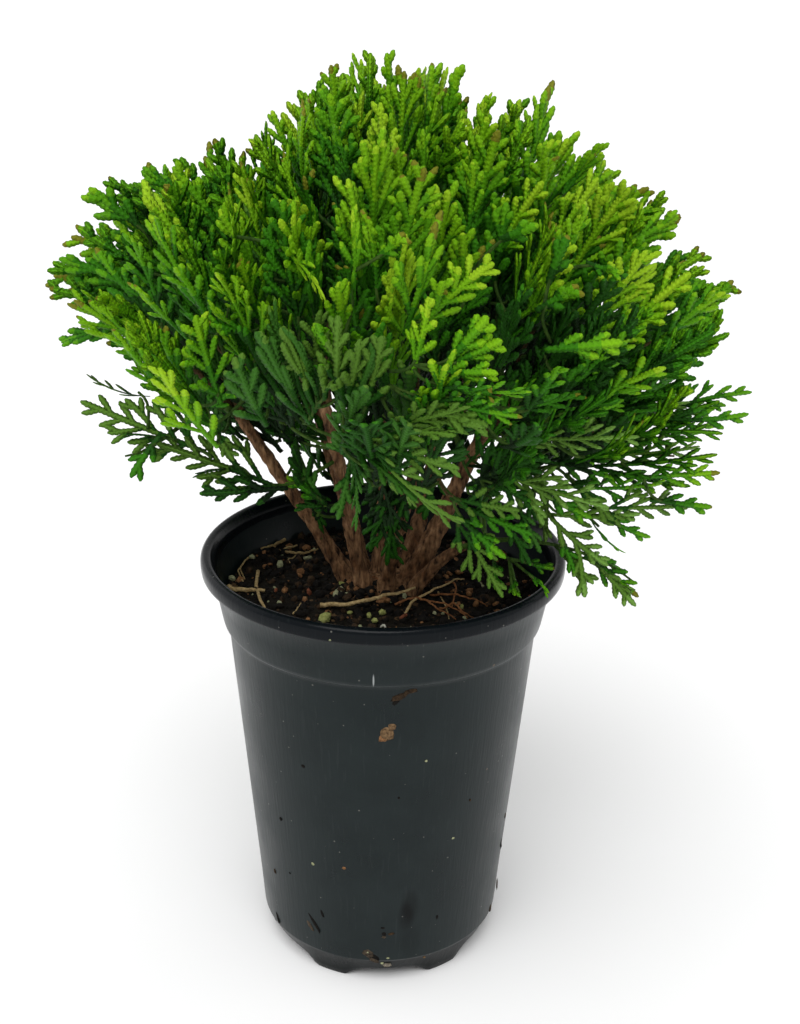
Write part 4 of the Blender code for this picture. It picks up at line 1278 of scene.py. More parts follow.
# Foot pixel, tip pixel, depth of foot and tip in mm, turn in degrees, tone, habit, mass
PLACED = (
    ((420, 328), (487, 257), -76, -90, 10, "lime", "fan", "front"),
    ((404, 335), (426, 222), -70, -82, 30, "bright", "tuft", "front"),
    ((412, 372), (434, 300), -80, -88, -25, "lime", "fan", "front"),
    ((444, 366), (488, 316), -82, -92, -12, "bright", "fan", "front_right"),
    ((446, 368), (502, 340), -82, -92, 8, "bright", "fan", "front_right"),
    ((438, 374), (498, 373), -82, -92, 24, "bright", "fan", "front_right"),
    ((424, 384), (530, 388), -80, -92, 62, "fresh", "frond", "front_right"),
    ((420, 398), (522, 411), -78, -90, 40, "fresh", "frond", "front_right"),
    ((400, 394), (486, 433), -76, -88, 18, "grey", "fan", "front"),
    ((545, 350), (623, 342), -66, -72, 8, "bright", "fan", "front_right"),
    ((536, 311), (581, 289), -62, -70, 14, "fresh", "fan", "front_right"),
    ((548, 284), (566, 234), -60, -66, -14, "mid", "fan", "front_right"),
    ((586, 262), (621, 276), -52, -58, 20, "fresh", "fan", "right"),
    ((500, 240), (537, 222), -60, -71, 12, "fresh", "fan", "front_right"),
    ((228, 322), (233, 186), -56, -60, 68, "bright", "fan", "left"),
    ((252, 334), (208, 325), -58, -64, 22, "fresh", "fan", "front_left"),
    ((306, 428), (246, 325), -62, -76, 30, "deep", "brush", "front_left"),
    ((310, 424), (260, 331), -66, -80, -30, "blue", "brush", "front_left"),
    ((313, 418), (265, 311), -68, -78, 55, "blue", "brush", "front_left"),
    ((316, 412), (283, 326), -70, -82, 20, "grey", "brush", "front_left"),
    ((319, 406), (294, 333), -72, -84, -50, "blue", "brush", "front_left"),
    ((322, 398), (312, 313), -70, -82, 24, "grey", "fan", "front_left"),
    ((325, 400), (323, 363), -76, -84, 30, "grey", "tuft", "front_left"),
    ((338, 404), (345, 317), -74, -84, -16, "grey", "fan", "front_left"),
    ((342, 412), (366, 338), -76, -86, 36, "grey", "fan", "front"),
    ((348, 416), (378, 352), -76, -86, -30, "blue", "brush", "front"),
    ((362, 418), (390, 337), -78, -88, 14, "grey", "fan", "front"),
    ((300, 436), (228, 366), -56, -66, -30, "deep", "frond", "front_left"),
    ((290, 440), (236, 392), -50, -56, 40, "deep", "frond", "front_left"),
    ((272, 242), (326, 298), -60, -75, 64, "lime", "frond", "front_left"),
    ((354, 302), (350, 212), -70, -78, 66, "bright", "fan", "front"),
    ((378, 258), (408, 236), -72, -82, 12, "bright", "fan", "front"),
    ((392, 300), (428, 168), -56, -66, 20, "bright", "fan", "top_front"),
    ((300, 330), (282, 200), -58, -66, 20, "mid", "fan", "front_left"),
    ((352, 452), (338, 520), -60, -70, 15, "blue", "frond", "front_low"),
    ((352, 446), (353, 532), -62, -72, 66, "blue", "frond", "front_low"),
    ((352, 444), (414, 506), -68, -82, -40, "blue", "frond", "front_low"),
    ((366, 440), (461, 524), -70, -86, 60, "grey", "frond", "front_low"),
    ((384, 444), (460, 474), -72, -88, 45, "grey", "fan", "front_low"),
    ((392, 420), (486, 433), -74, -88, 52, "grey", "fan", "front"),
    ((366, 430), (466, 402), -72, -88, 52, "grey", "frond", "front"),
    ((380, 436), (453, 440), -72, -88, -50, "grey", "fan", "front_low"),
    ((352, 434), (400, 437), -70, -80, 56, "grey", "frond", "front_low"),
    ((284, 490), (160, 434), -25, -20, 8, "grey", "frond", "low_left"),
    ((206, 452), (80, 402), -20, -14, 6, "grey", "frond", "low_left"),
    ((150, 396), (84, 374), -8, -2, 80, "grey", "frond", "left"),
    ((130, 326), (61, 337), -10, -4, 20, "fresh", "tuft", "left"),
    ((188, 424), (183, 356), -36, -38, 15, "bright", "frond", "low_left"),
    ((190, 420), (246, 387), -36, -42, 10, "fresh", "frond", "low_left"),
    ((186, 424), (130, 362), -34, -34, 25, "fresh", "frond", "low_left"),
    ((160, 436), (128, 476), -24, -26, -10, "mid", "frond", "low_left"),
    ((165, 438), (121, 435), -20, -18, 70, "deep", "frond", "low_left"),
    ((214, 428), (232, 462), -30, -34, 10, "grey", "frond", "low_left"),
    ((240, 464), (195, 473), -20, -20, 75, "deep", "frond", "low_left"),
    ((288, 488), (200, 500), -26, -30, 12, "deep", "frond", "low_left"),
    ((556, 432), (690, 404), -26, -24, 55, "sage", "frond", "low_right"),
    ((654, 416), (752, 393), -24, -22, 40, "fresh", "frond", "low_right"),
    ((660, 418), (748, 419), -25, -25, 34, "fresh", "frond", "low_right"),
    ((622, 424), (722, 405), -24, -22, -50, "fresh", "frond", "low_right"),
    ((594, 442), (723, 434), -30, -28, -45, "fresh", "frond", "low_right"),
    ((580, 452), (700, 446), -28, -26, 55, "sage", "frond", "low_right"),
    ((570, 466), (718, 456), -34, -34, -52, "fresh", "frond", "low_right"),
    ((640, 478), (720, 469), -34, -36, 30, "bright", "frond", "low_right"),
    ((650, 500), (712, 508), -32, -30, 20, "fresh", "frond", "low_right"),
    ((560, 486), (662, 484), -32, -30, 50, "fresh", "frond", "low_right"),
    ((590, 508), (688, 500), -30, -28, 42, "grey", "frond", "low_right"),
    ((548, 514), (640, 518), -28, -28, 46, "sage", "frond", "low_right"),
    ((600, 514), (650, 538), -28, -28, 30, "fresh", "frond", "low_right"),
    ((590, 518), (626, 553), -28, -28, 78, "fresh", "frond", "low_right"),
    ((496, 440), (640, 430), -45, -48, 50, "sage", "frond", "low_right"),
    ((500, 474), (612, 502), -40, -42, 48, "sage", "frond", "low_right"),
    ((510, 430), (620, 404), -50, -52, 52, "fresh", "frond", "low_right"),
    ((512, 410), (580, 392), -56, -60, 50, "mid", "frond", "front_right"),
    ((640, 440), (712, 426), -18, -16, 50, "fresh", "frond", "low_right"),
    ((610, 470), (690, 482), -18, -16, -48, "fresh", "frond", "low_right"),
    ((551, 518), (604, 570), -30, -30, 8, "sage", "frond", "droop_right"),
    ((584, 556), (641, 594), -22, -22, 8, "fresh", "frond", "droop_right"),
    ((600, 568), (636, 606), -24, -25, -12, "sage", "frond", "droop_right"),
    ((560, 534), (577, 572), -30, -32, -10, "mid", "frond", "droop_right"),
    ((578, 548), (588, 597), -30, -32, 10, "sage", "frond", "droop_right"),
    ((450, 498), (519, 516), -50, -64, 14, "grey", "frond", "low_front_right"),
    ((460, 505), (530, 540), -50, -62, -8, "mid", "frond", "low_front_right"),
    ((455, 512), (506, 558), -48, -58, 16, "fresh", "frond", "low_front_right"),
    ((452, 515), (502, 598), -44, -52, 20, "grey", "frond", "low_front_right"),
    ((505, 487), (548, 516), -38, -40, 20, "sage", "frond", "low_right"),
    ((532, 488), (592, 518), -34, -34, 25, "fresh", "frond", "low_right"),
    ((565, 474), (614, 520), -32, -32, -20, "grey", "frond", "low_right"),
    ((548, 462), (622, 486), -36, -36, 35, "fresh", "frond", "low_right"),
    ((500, 470), (560, 494), -36, -38, -15, "sage", "frond", "low_right"),
    ((570, 470), (632, 447), -30, -30, 40, "fresh", "frond", "low_right"),
    ((480, 478), (532, 500), -40, -42, 10, "deep", "frond", "low_front_right"),
    ((518, 505), (541, 553), -36, -38, 15, "blue", "frond", "low_front_right"),
    ((500, 512), (530, 566), -38, -42, 30, "deep", "frond", "low_front_right"),
    ((318, 520), (296, 442), -18, -22, 30, "deep", "tuft", "front_left"),
    ((324, 506), (302, 464), -18, -20, -20, "blue", "frond", "front_left"),
    ((326, 504), (288, 474), -20, -22, 20, "fresh", "frond", "front_left"),
    ((336, 508), (296, 504), -20, -22, 30, "deep", "frond", "front_left"),
    # The shade and deep rows in this group are dark sprays set into dark gaps behind and between the stems: painted
    # shade.
    ((300, 455), (262, 402), 6, 8, 20, "deep", "fan", "left"),
    ((262, 442), (224, 404), 8, 10, -20, "deep", "fan", "left"),
    ((298, 448), (278, 404), 10, 12, 15, "shade", "fan", "left"),
    ((244, 440), (212, 412), 6, 6, 0, "deep", "frond", "left"),
    ((312, 446), (276, 434), -6, -6, 30, "deep", "frond", "front_left"),
    ((352, 500), (318, 450), 20, 24, 20, "shade", "fan", "back_left"),
    ((346, 506), (332, 458), 22, 24, -15, "deep", "fan", "back_left"),
    ((470, 470), (446, 424), 20, 24, 10, "shade", "fan", "back"),
    ((452, 476), (464, 424), 22, 26, -20, "shade", "fan", "back"),
    ((548, 490), (546, 542), -20, -22, 20, "sage", "frond", "low_right"),
    ((535, 485), (526, 532), -24, -26, -15, "deep", "frond", "low_right"),
    ((478, 385), (462, 326), -44, -50, 20, "shade", "fan", "front"),
    ((500, 392), (486, 340), -44, -50, -15, "shade", "fan", "front_right"),
    ((400, 462), (384, 540), -34, -30, 15, "shade", "frond", "front_low"),
    ((420, 468), (398, 528), -36, -32, -15, "shade", "frond", "front_low"),
    ((378, 462), (372, 530), -30, -26, 30, "shade", "frond", "front_low"),
    ((386, 468), (376, 556), -34, -28, 40, "shade", "frond", "front_low"),
    ((394, 476), (386, 566), -32, -26, -35, "deep", "frond", "front_low"),
    ((438, 462), (424, 520), -32, -28, 10, "deep", "frond", "front_low"),
    ((390, 480), (396, 560), -28, -24, 20, "shade", "frond", "front_low"),
    ((310, 480), (318, 540), -4, 0, 20, "deep", "frond", "low_left"),
    ((356, 470), (350, 500), -20, -18, 20, "deep", "frond", "front_low"),
    ((520, 195), (541, 84), -12, -12, 25, "bright", "tuft", "top_right"),
    ((190, 300), (54, 272), -8, -4, 8, "fresh", "fan", "left"),
    ((180, 266), (88, 192), -6, -2, 12, "fresh", "fan", "top_left"),
    ((190, 284), (72, 234), -14, -12, -10, "bright", "fan", "left"),
    ((205, 326), (66, 300), -12, -10, 6, "mid", "fan", "left"),
    ((215, 244), (142, 170), -12, -10, 15, "fresh", "fan", "top_left"),
    ((232, 244), (178, 163), -20, -22, -15, "bright", "fan", "top_left"),
    ((640, 332), (734, 288), -14, -12, 8, "fresh", "fan", "right"),
    ((620, 262), (679, 214), -12, -12, -12, "bright", "fan", "top_right"),
)


# Tips that make the crown's jagged edge in the photograph, in pixels
EDGE_TIPS = (
    (50, 268), (51, 282), (61, 253), (75, 232), (87, 190), (105, 181), (126, 188), (146, 163), (176, 161),
    (209, 142), (257, 138), (276, 109), (298, 94), (327, 65), (365, 53), (392, 52), (438, 64), (459, 67),
    (492, 97), (517, 105), (592, 150), (608, 146), (646, 184), (665, 193), (678, 211), (708, 259), (735, 282),
)
EDGE_FOCUS = (385, 400)
EDGE_SPRAY, EDGE_DEPTH = 92, -10


def edge_rows():
    """A spray for each of those tips, its foot on the way to the middle of the crown."""
    rng = random.Random(SEED + 7)
    made = []
    for px, py in EDGE_TIPS:
        wide, high = EDGE_FOCUS[0] - px, EDGE_FOCUS[1] - py
        share = EDGE_SPRAY * rng.uniform(0.8, 1.1) / math.hypot(wide, high)
        depth = EDGE_DEPTH + rng.uniform(-6, 6)
        owner = owner_of(Vector(seen_at_depth(px, py, depth)))
        tone = "fresh" if px < 240 else "bright"
        made.append(((px + wide * share, py + high * share), (px, py), depth, depth - 3,
                     rng.uniform(-30, 30), tone, rng.choice(("fan", "tuft")), owner))
    return made


def placed_sprays(rows):
    """Adds the sprays that are placed by pixels, each on the nearest wood."""
    grown = [wood_of(name, rows[name]) for name in MASSES]
    all_wood = np.concatenate(grown + [limb[::6, :3] for limb in wood])
    for foot, end, foot_depth, end_depth, turn, tone, habit, owner in (*PLACED, *edge_rows()):
        base = seen_at_depth(*foot, foot_depth)
        tip = seen_at_depth(*end, end_depth)
        axis = unit(tip - base)
        across = unit(np.cross(axis, unit(EYE - base)))
        lateral = Matrix.Rotation(math.radians(turn), 3, Vector(axis)) @ Vector(across)
        start = nearest_wood(all_wood, base, axis)
        length = float(np.linalg.norm(tip - base))
        all_wood = np.concatenate([all_wood, base + axis * length * np.linspace(0.05, 0.7, 12)[:, None]])
        rows[owner].append((base, axis, np.array(lateral), length, start, tone, habit))


sprays = sprays_of_fans()
finer = finer_sprays(sprays)
placed_sprays(sprays)
print("sprays", sum(len(rows) for rows in sprays.values()), "of them finer", finer)

# %% [markdown]
# ## One spray of scale leaves
#
# The leaves are small scales pressed flat against the shoots, so a shoot looks like a
# knobbly ribbon with a ridge down the middle and a blunt end. A ribbon is a path with three
# points round it: two edges and a ridge. Its width swells along each scale and drops
# back at the next. A spray is one long ribbon with side ribbons set alternately at under
# forty degrees, and the longer ones carry short ones of their own. A handful of sprays of
# several lengths is worked out once, then bent and set in place on every fan, as real
# faces. Each ribbon also has a UV map, scales along it and -1 to 1 across it, which the
# leaf finish uses to press the outline of every single scale into the surface.

# %% Spray shapes
SCALE_LEAF = 0.0014
RIBBON = 0.00105
THICKNESS = 0.42
OVAL_END = 0.0024


def ribbon(start, heading, bend, length, tilt, width, coarse):
    """Two rings for each scale of one shoot, each ring a left edge, a ridge and a right edge.

    The heading turns evenly by bend. The half width grows from 0.76 to 1.12 by two thirds
    of the length, then closes like an ellipse. Left and right bulge by turns, a tenth.
    """
    count = max(4, round(2 * length / (SCALE_LEAF * coarse)))
    share = np.linspace(0, 1, count + 1)
    angle = heading + bend * share
    step = length / count
    middle = np.stack([
        start[0] + np.cumsum(np.cos(angle)) * step - np.cos(angle[0]) * step,
        start[1] + np.cumsum(np.sin(angle)) * step - np.sin(angle[0]) * step,
        start[2] + share * length * tilt,
    ], -1)
    into_end = np.clip(1 - (1 - share) * length / min(OVAL_END, 0.6 * length), 0, 0.95)
    half = width * (0.76 + 0.36 * np.minimum(share / 0.65, 1)) * np.sqrt(1 - into_end ** 2)
    bulge = 0.105 * (-1.0) ** np.arange(count + 1)
    across = np.stack([half * (1 + bulge), half * bulge * 2.0, -half * (1 - bulge)], 1)
    edge = np.stack([-np.sin(angle), np.cos(angle), np.zeros_like(angle)], -1)
    rings = middle[:, None] + edge[:, None] * across[..., None]
    rings[:, 1, 2] += half * THICKNESS
    uvs = np.stack(np.broadcast_arrays((share * length / SCALE_LEAF)[:, None], (1.0, 0.0, -1.0)), -1)
    tris = np.array([[2, 1, 0], [3 * count, 3 * count + 1, 3 * count + 2]])
    return rings.reshape(-1, 3), ring_faces(count + 1, 3), tris, uvs.reshape(-1, 2), middle, angle


def shoots_along(parent, length, first, gap, side, rng):
    """Places along a parent ribbon where side shoots leave: spot, heading, share, side."""
    middle, angle = parent[4:]
    at = first
    while at < length - 0.0030:
        place = round(at / length * (len(angle) - 1))
        yield middle[place], angle[place], at / length, side
        side = -side
        at += gap * rng.uniform(0.86, 1.16)


# A habit: least and greatest angle of the side shoots, their reach as a share of the
# spray's length, the gap from one to the next, from what length they branch again, how
# stout the shoots are, and how far they lean out of the spray's plane
HABITS = {
    "brush": (10, 18, 0.52, 0.0056, 0.0170, 1.04, 0.26),
    "tuft": (19, 29, 0.48, 0.0040, 0.0120, 0.96, 0.34),
    "fan": (30, 42, 0.43, 0.0036, 0.0096, 1.02, 0.24),
    "frond": (32, 45, 0.38, 0.0032, 0.0084, 0.84, 0.14),
}


def spray_shape(length, habit, seed, coarse=1.0):
    """A whole spray in its own plane: first number along it, second across, third out of it.

    A side shoot has its habit's reach near the foot, falling evenly to a quarter of that
    at the tip, and leans back towards the spray's axis as it grows.
    """
    rng = random.Random(seed)
    least, greatest, reach_share, gap, branching, stout, lean = HABITS[habit]
    width = RIBBON * stout
    made = [ribbon((0, 0, 0), 0.0, rng.uniform(-0.16, 0.16), length, 0.0, width, coarse)]
    for spot, heading, share, side in shoots_along(made[0], length, 0.0034, gap, rng.choice((-1, 1)), rng):
        reach = length * reach_share * min(1.0, 0.45 + 3.0 * share) * (1.0 - 0.72 * max(0.0, share - 0.15) / 0.85)
        reach = max(0.0046, min(reach * rng.uniform(0.80, 1.14), (1.0 - share) * length * 1.1 + 0.004))
        angle = heading + side * math.radians(rng.uniform(least, greatest))
        branch = ribbon(spot, angle, -side * rng.uniform(0.10, 0.34), reach, rng.uniform(-lean, lean),
                        width * rng.uniform(0.92, 1.06), coarse)
        made.append(branch)
        if reach < branching:
            continue
        for spot2, heading2, share2, side2 in shoots_along(branch, reach, reach * 0.46, 0.0031, side, rng):
            short = min(0.0080, 0.0038 + 0.34 * reach * (1.0 - share2)) * rng.uniform(0.82, 1.14)
            angle2 = heading2 + side2 * math.radians(rng.uniform(0.90, 1.1) * least + 3)
            made.append(ribbon(spot2, angle2, -side2 * 0.16, short, rng.uniform(-0.24, 0.24),
                               width * rng.uniform(0.88, 1.0), coarse))
    moves = np.cumsum([0] + [len(m[0]) for m in made[:-1]])
    spots = np.concatenate([m[0] for m in made])
    quads = np.concatenate([m[1] + move for m, move in zip(made, moves)])
    tris = np.concatenate([m[2] + move for m, move in zip(made, moves)])
    uvs = np.concatenate([m[3] for m in made])
    own = np.concatenate([np.repeat(np.linspace(0, 1, len(m[4])), 3) for m in made])
    luck = np.concatenate([np.full(len(m[0]), rng.uniform(-0.09, 0.09)) for m in made])
    youth = 0.72 * np.hypot(spots[:, 0], 1.2 * spots[:, 1]) / length + 0.30 * own + luck
    levels = (0.40, 0.70, 0.98)
    ages = [np.digitize(youth[faces].mean(1), levels) for faces in (quads, tris)]
    return spots, quads, tris, uvs, *ages


SPRAY_LENGTHS = (0.014, 0.019, 0.025, 0.032, 0.040, 0.048, 0.056)


def spray_bank(count, coarse):
    """Several sprays of every habit and length."""
    return {habit: [[spray_shape(length, habit, 10 * i + k, coarse) for k in range(count)]
                    for i, length in enumerate(SPRAY_LENGTHS)] for habit in HABITS}


SHAPES, COARSE = spray_bank(4, 1.0), spray_bank(2, 1.8)
print("faces of a fan", [len(row[0][1]) for row in SHAPES["fan"]],
      "coarse", [len(row[0][1]) for row in COARSE["fan"]])

# %% [markdown]
# ### Colours of the leaves
#
# Shoots grown in full light are yellow green, sheltered ones blue green, and the ends of
# last year's are bronze. Each of these tones is one plain base colour, dealt out by spray
# and by how far out on it a shoot is, so no picture is needed. The relief of the scales
# comes from the UV map: a ramp that rises along each scale and drops at its end, slanted
# towards the edges, which gives the herringbone look of the real shoots.

# %% Leaf materials
# The shade tone, and the deep tone where it is dealt to inner layers and niches, is painted shade for the dark inside
# of the crown.
LEAF_COLOURS = {
    "shade": (14, 42, 6), "deep": (30, 80, 8), "blue": (54, 104, 26), "grey": (86, 126, 38),
    "mid": (54, 122, 7), "fresh": (90, 156, 8), "bright": (122, 180, 12),
    "lime": (156, 200, 30), "brown": (122, 126, 28), "sage": (112, 156, 62),
}


def scales_group():
    """Height = the lesser of f / 0.66 and (1 - f) / 0.34, where f = fraction of
    (u - 0.5 |v|), half a scale further on beyond |v| = 0.45, where a groove runs."""
    tree, given, out = new_group(
        "scale_leaves", [("Shoot", "NodeSocketVector", None)], [("Mask", "NodeSocketFloat")]
    )

    def sum_of(operation, first, second, third=0.0):
        return node(tree, "ShaderNodeMath", {0: first, 1: second, 2: third}, operation=operation).outputs[0]

    parts = node(tree, "ShaderNodeSeparateXYZ", {"Vector": given.outputs["Shoot"]})
    aside = sum_of("ABSOLUTE", parts.outputs["Y"], 0.0)
    beyond = sum_of("GREATER_THAN", aside, 0.45)
    slant = sum_of("MULTIPLY_ADD", aside, -0.5, parts.outputs["X"])
    share = sum_of("FRACT", sum_of("MULTIPLY_ADD", beyond, 0.5, slant), 0.0)
    rise = sum_of("DIVIDE", share, 0.66)
    fall = sum_of("DIVIDE", sum_of("SUBTRACT", 1.0, share), 0.34)
    near = sum_of("ABSOLUTE", sum_of("SUBTRACT", aside, 0.45), 0.0)
    groove = node(tree, "ShaderNodeMapRange", {
        "Value": near, "From Min": 0.16, "From Max": 0.0, "To Max": 0.6,
    }).outputs["Result"]
    tree.links.new(sum_of("SUBTRACT", sum_of("MINIMUM", rise, fall), groove), out.inputs["Mask"])
    return tree


SCALES = scales_group()


def leaf_finish(name, colour):
    """One plain leaf colour with uneven gloss and the relief of the scales."""
    mat, tree, shader, place = finish(f"leaf_{name}", 0.15)
    shader.inputs["Base Color"].default_value = seen(*colour)
    grain = place_group(tree, MOTTLE, {"Vector": place, "Scale": 900.0, "Detail": 2.0})
    tree.links.new(between(tree, grain, 0.46, 0.70), shader.inputs["Roughness"])
    shoot = node(tree, "ShaderNodeUVMap", uv_map="shoot").outputs["UV"]
    scales = place_group(tree, SCALES, {"Shoot": shoot})
    bump(tree, shader, scales, 0.00019, 1.0)
    return mat


LEAF_FINISHES = [leaf_finish(name, LEAF_COLOURS[name]) for name in TONES]
# For each tone: a spray's oldest part, its middle, its young shoots and their very ends
AGEING = {
    "shade": ("shade", "shade", "deep", "deep"), "deep": ("shade", "deep", "deep", "mid"),
    "blue": ("deep", "blue", "blue", "grey"), "grey": ("deep", "grey", "grey", "grey"),
    "mid": ("deep", "mid", "mid", "fresh"), "fresh": ("deep", "mid", "fresh", "bright"),
    "bright": ("mid", "fresh", "bright", "lime"), "lime": ("fresh", "bright", "lime", "lime"),
    "sage": ("grey", "grey", "sage", "sage"),
}


# %% Leaves
def place_spray(shape, base, axis, lateral, length, made_length, bow, cup):
    """Sets a spray in place: along its axis, across it and out of its plane, where it bows
    by 4t(1-t) along its length and cups with the square of the distance across."""
    a, b, c = (shape * (length / made_length)).T
    t = np.clip(a / length, 0, 1)
    normal = np.cross(axis, lateral)
    out = c + bow * length * 4 * t * (1 - t) + cup * b * b / (0.33 * length)
    return base + a[:, None] * axis + b[:, None] * lateral + out[:, None] * normal


def leaf_piece(name, rows):
    """All sprays of one mass as one mesh, each with its ridged side outwards."""
    rng = random.Random(name)
    spots, quads, tris, quad_looks, tri_looks, uvs, count = [], [], [], [], [], [], 0
    for base, axis, lateral, length, start, tone, habit in rows:
        size = int(np.argmin(np.abs(np.array(SPRAY_LENGTHS) - length)))
        tip = base + axis * length
        bank = COARSE if tone == "shade" else SHAPES
        shape, faces, ends, shoot, ages, end_ages = rng.choice(bank[habit][size])
        outwards = tip - np.array(CROWN_CENTRE)
        across = lateral if np.cross(axis, lateral) @ outwards > 0 else -lateral
        bow, cup = rng.uniform(-0.08, 0.08), rng.uniform(-0.15, 0.15)
        spots.append(place_spray(shape, base, axis, across, length, SPRAY_LENGTHS[size], bow, cup))
        look = [TONES.index(t) for t in AGEING[tone]]
        if rng.random() < 0.45 and tone in ("fresh", "bright", "mid"):
            look[3] = TONES.index("brown")
        quads.append(faces + count)
        tris.append(ends + count)
        quad_looks.append(np.array(look)[ages])
        tri_looks.append(np.array(look)[end_ages])
        uvs.append(shoot)
        count += len(shape)
    piece = mesh_piece(f"leaves_{name}", np.concatenate(spots), np.concatenate(quads),
                       np.concatenate(tris), np.concatenate(quad_looks), np.concatenate(tri_looks),
                       LEAF_FINISHES, np.concatenate(uvs), smooth=False)
    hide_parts(f"foliage_{name}")
    return 2 * sum(map(len, quads)) + sum(map(len, tris))


triangles = {name: leaf_piece(name, rows) for name, rows in sprays.items()}
print("leaf triangles", sum(triangles.values()), "largest", max(triangles.values()))

# %% [markdown]
# ## The wood
#
# The stems have thin orange-brown bark that peels in upright strips. A tube round each
# limb's path gets its relief straight in its radius: a sum of waves in the turn and the
# length, with whole numbers of waves round the limb so that the seam closes. The waves
# are long along the limb and short round it, which reads as strips.

# %% Bark
def bark_finish(name, dark, light, strand, depth):
    """Stringy bark: a mottle stretched upwards between two colours, with paler strands."""
    mat, tree, shader, place = finish(name, 0.2)
    long_place = stretched(tree, place, (1.0, 1.0, 0.22))
    grain = place_group(tree, MOTTLE, {"Vector": long_place, "Scale": 700.0, "Detail": 5.0})
    patch = place_group(tree, MOTTLE, {"Vector": place, "Scale": 160.0, "Detail": 3.0})
    colour = mix(tree, grain, dark, light)
    pale = node(tree, "ShaderNodeMath", {0: grain, 1: patch}, operation="MULTIPLY").outputs[0]
    tree.links.new(mix(tree, pale, colour, strand), shader.inputs["Base Color"])
    tree.links.new(between(tree, grain, 0.95, 0.72), shader.inputs["Roughness"])
    bump(tree, shader, grain, depth)
    return mat


bark = bark_finish("bark", seen(38, 24, 14), seen(126, 86, 54), seen(186, 144, 104), 0.0011)
twig_bark = bark_finish("twig_bark", seen(40, 30, 18), seen(92, 66, 38), seen(90, 84, 44), 0.0003)
green_twig = bark_finish("green_twig", seen(24, 46, 9), seen(54, 88, 20), seen(68, 92, 30), 0.0002)


def bark_tube(points, girths, sides, rings, seed, depth):
    """A tube whose radius is the girth times one plus waves round and along the limb."""
    points, girths = np.array([p[:] for p in points]), np.array(girths)
    share = np.linspace(0, 1, len(points))
    fine = np.linspace(0, 1, rings)
    path = np.stack([np.interp(fine, share, points[:, k]) for k in range(3)], -1)
    girth = np.interp(fine, share, girths) * np.interp(fine, (0.0, 0.35, 1.0), (0.92, 0.82, 0.72))
    along = np.append(0, np.cumsum(np.linalg.norm(np.diff(path, axis=0), axis=1)))[:, None]
    turn = (np.arange(sides) * TAU / sides)[None]
    rng = np.random.default_rng(seed)
    relief = np.zeros((rings, sides))
    for waves_round, wave_length, size in ((2, 0.021, 0.5), (3, 0.013, 0.6), (5, 0.016, 0.8),
                                           (7, 0.009, 0.8), (9, 0.012, 0.6), (4, 0.0045, 0.5)):
        relief += size * np.sin(waves_round * turn + along * TAU / wave_length + rng.uniform(0, TAU))
        relief += size * np.sin(waves_round * turn - along * TAU / wave_length + rng.uniform(0, TAU))
    return tube(path, girth[:, None] * (1 + depth * relief), sides)


def mound():
    """The foot that all the limbs share: a low turned dome whose radius waves round it."""
    radii = [0.0, 0.0135, 0.0135, 0.0122, 0.0100, 0.0080, 0.005, 0.0]
    heights = np.array([-0.002, -0.002, 0.0000, 0.0010, 0.0022, 0.0034, 0.0041, 0.0043]) + SOIL_LEVEL
    spots, quads, tris = turned(radii, heights, 60)
    turn = np.arctan2(spots[:, 1], spots[:, 0])
    swell = 1 + 0.09 * np.sin(5 * turn + 1) + 0.06 * np.sin(9 * turn) + 0.04 * np.sin(17 * turn + 2)
    spots[:, :2] *= swell[:, None]
    return spots, quads, tris


parts = [mound()]
for index, (name, (points, girths)) in enumerate(paths.items()):
    sunk = [points[0] - (points[1] - points[0]).normalized() * 0.003] + list(points)
    parts.append(bark_tube(sunk, [girths[0]] + list(girths), 34, 150, index, 0.055))
spots, quads, tris = join(parts)
limbs_piece = mesh_piece("bark_limbs", spots, quads, tris, 0, 0, [bark])
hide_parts("trunk", *[f"bough_{name}" for name in LIMBS])
print("bark faces", len(limbs_piece.data.polygons))

# %% Stems and twigs
def stalk(start, foot, axis, thick, thin):
    """A twig on a cubic curve that runs into the spray along its axis, tapering evenly."""
    t = np.linspace(0, 1, 7)[:, None]
    s = 1 - t
    reach = np.linalg.norm(foot - start)
    straight = max(0.0, unit(foot - start) @ axis)
    first = start + (foot - start) * 0.40
    second = start + (foot - start) * 0.8 * (1 - straight) + (foot - axis * reach * 0.16 - start) * straight
    into = foot + axis * 0.004
    path = start * s**3 + first * (3 * s * s * t) + second * (3 * s * t * t) + into * t**3
    return tube(path, thick + (thin - thick) * t[:, 0], 5)


parts, kinds = [], []
for index, (name, (points, heading)) in enumerate(stems.items()):
    stout = 0.7 if name in FRONDS else 1.0
    girths = np.linspace(STEM_RADIUS * stout, STEM_TIP_RADIUS * 0.5, len(points))
    parts.append(bark_tube(points, girths, 10, 40, index + 30, 0.04))
    for base, axis, lateral, length, start, tone, habit in sprays[name]:
        thick = 0.00075 if length > 0.04 else 0.00055
        parts.append(stalk(start, base, axis, thick, 0.00045))
    kinds += [1 if name in FRONDS or name == "low_left" else 0] + [1] * len(sprays[name])
spots, quads, tris = join(parts)
quad_slots = np.concatenate([np.full(len(p[1]), k) for p, k in zip(parts, kinds)])
tri_slots = np.concatenate([np.full(len(p[2]), k) for p, k in zip(parts, kinds)])
twigs = mesh_piece("stems_and_twigs", spots, quads, tris, quad_slots, tri_slots, [twig_bark, green_twig])
print("twig faces", len(twigs.data.polygons))

# %% [markdown]
# ## Litter on the soil and on the pot
#
# Dry straws, a few thin roots at the foot, one curl of pale skin and chips of bark lie on
# the soil, and some dirt and two flakes of bark stick to the outside of the pot. Straws
# and roots are thin tubes along a few points seen in the photograph, which rest on the
# soil's own surface. A flake on the pot is set on the wall where its line of sight meets
# the turned profile.

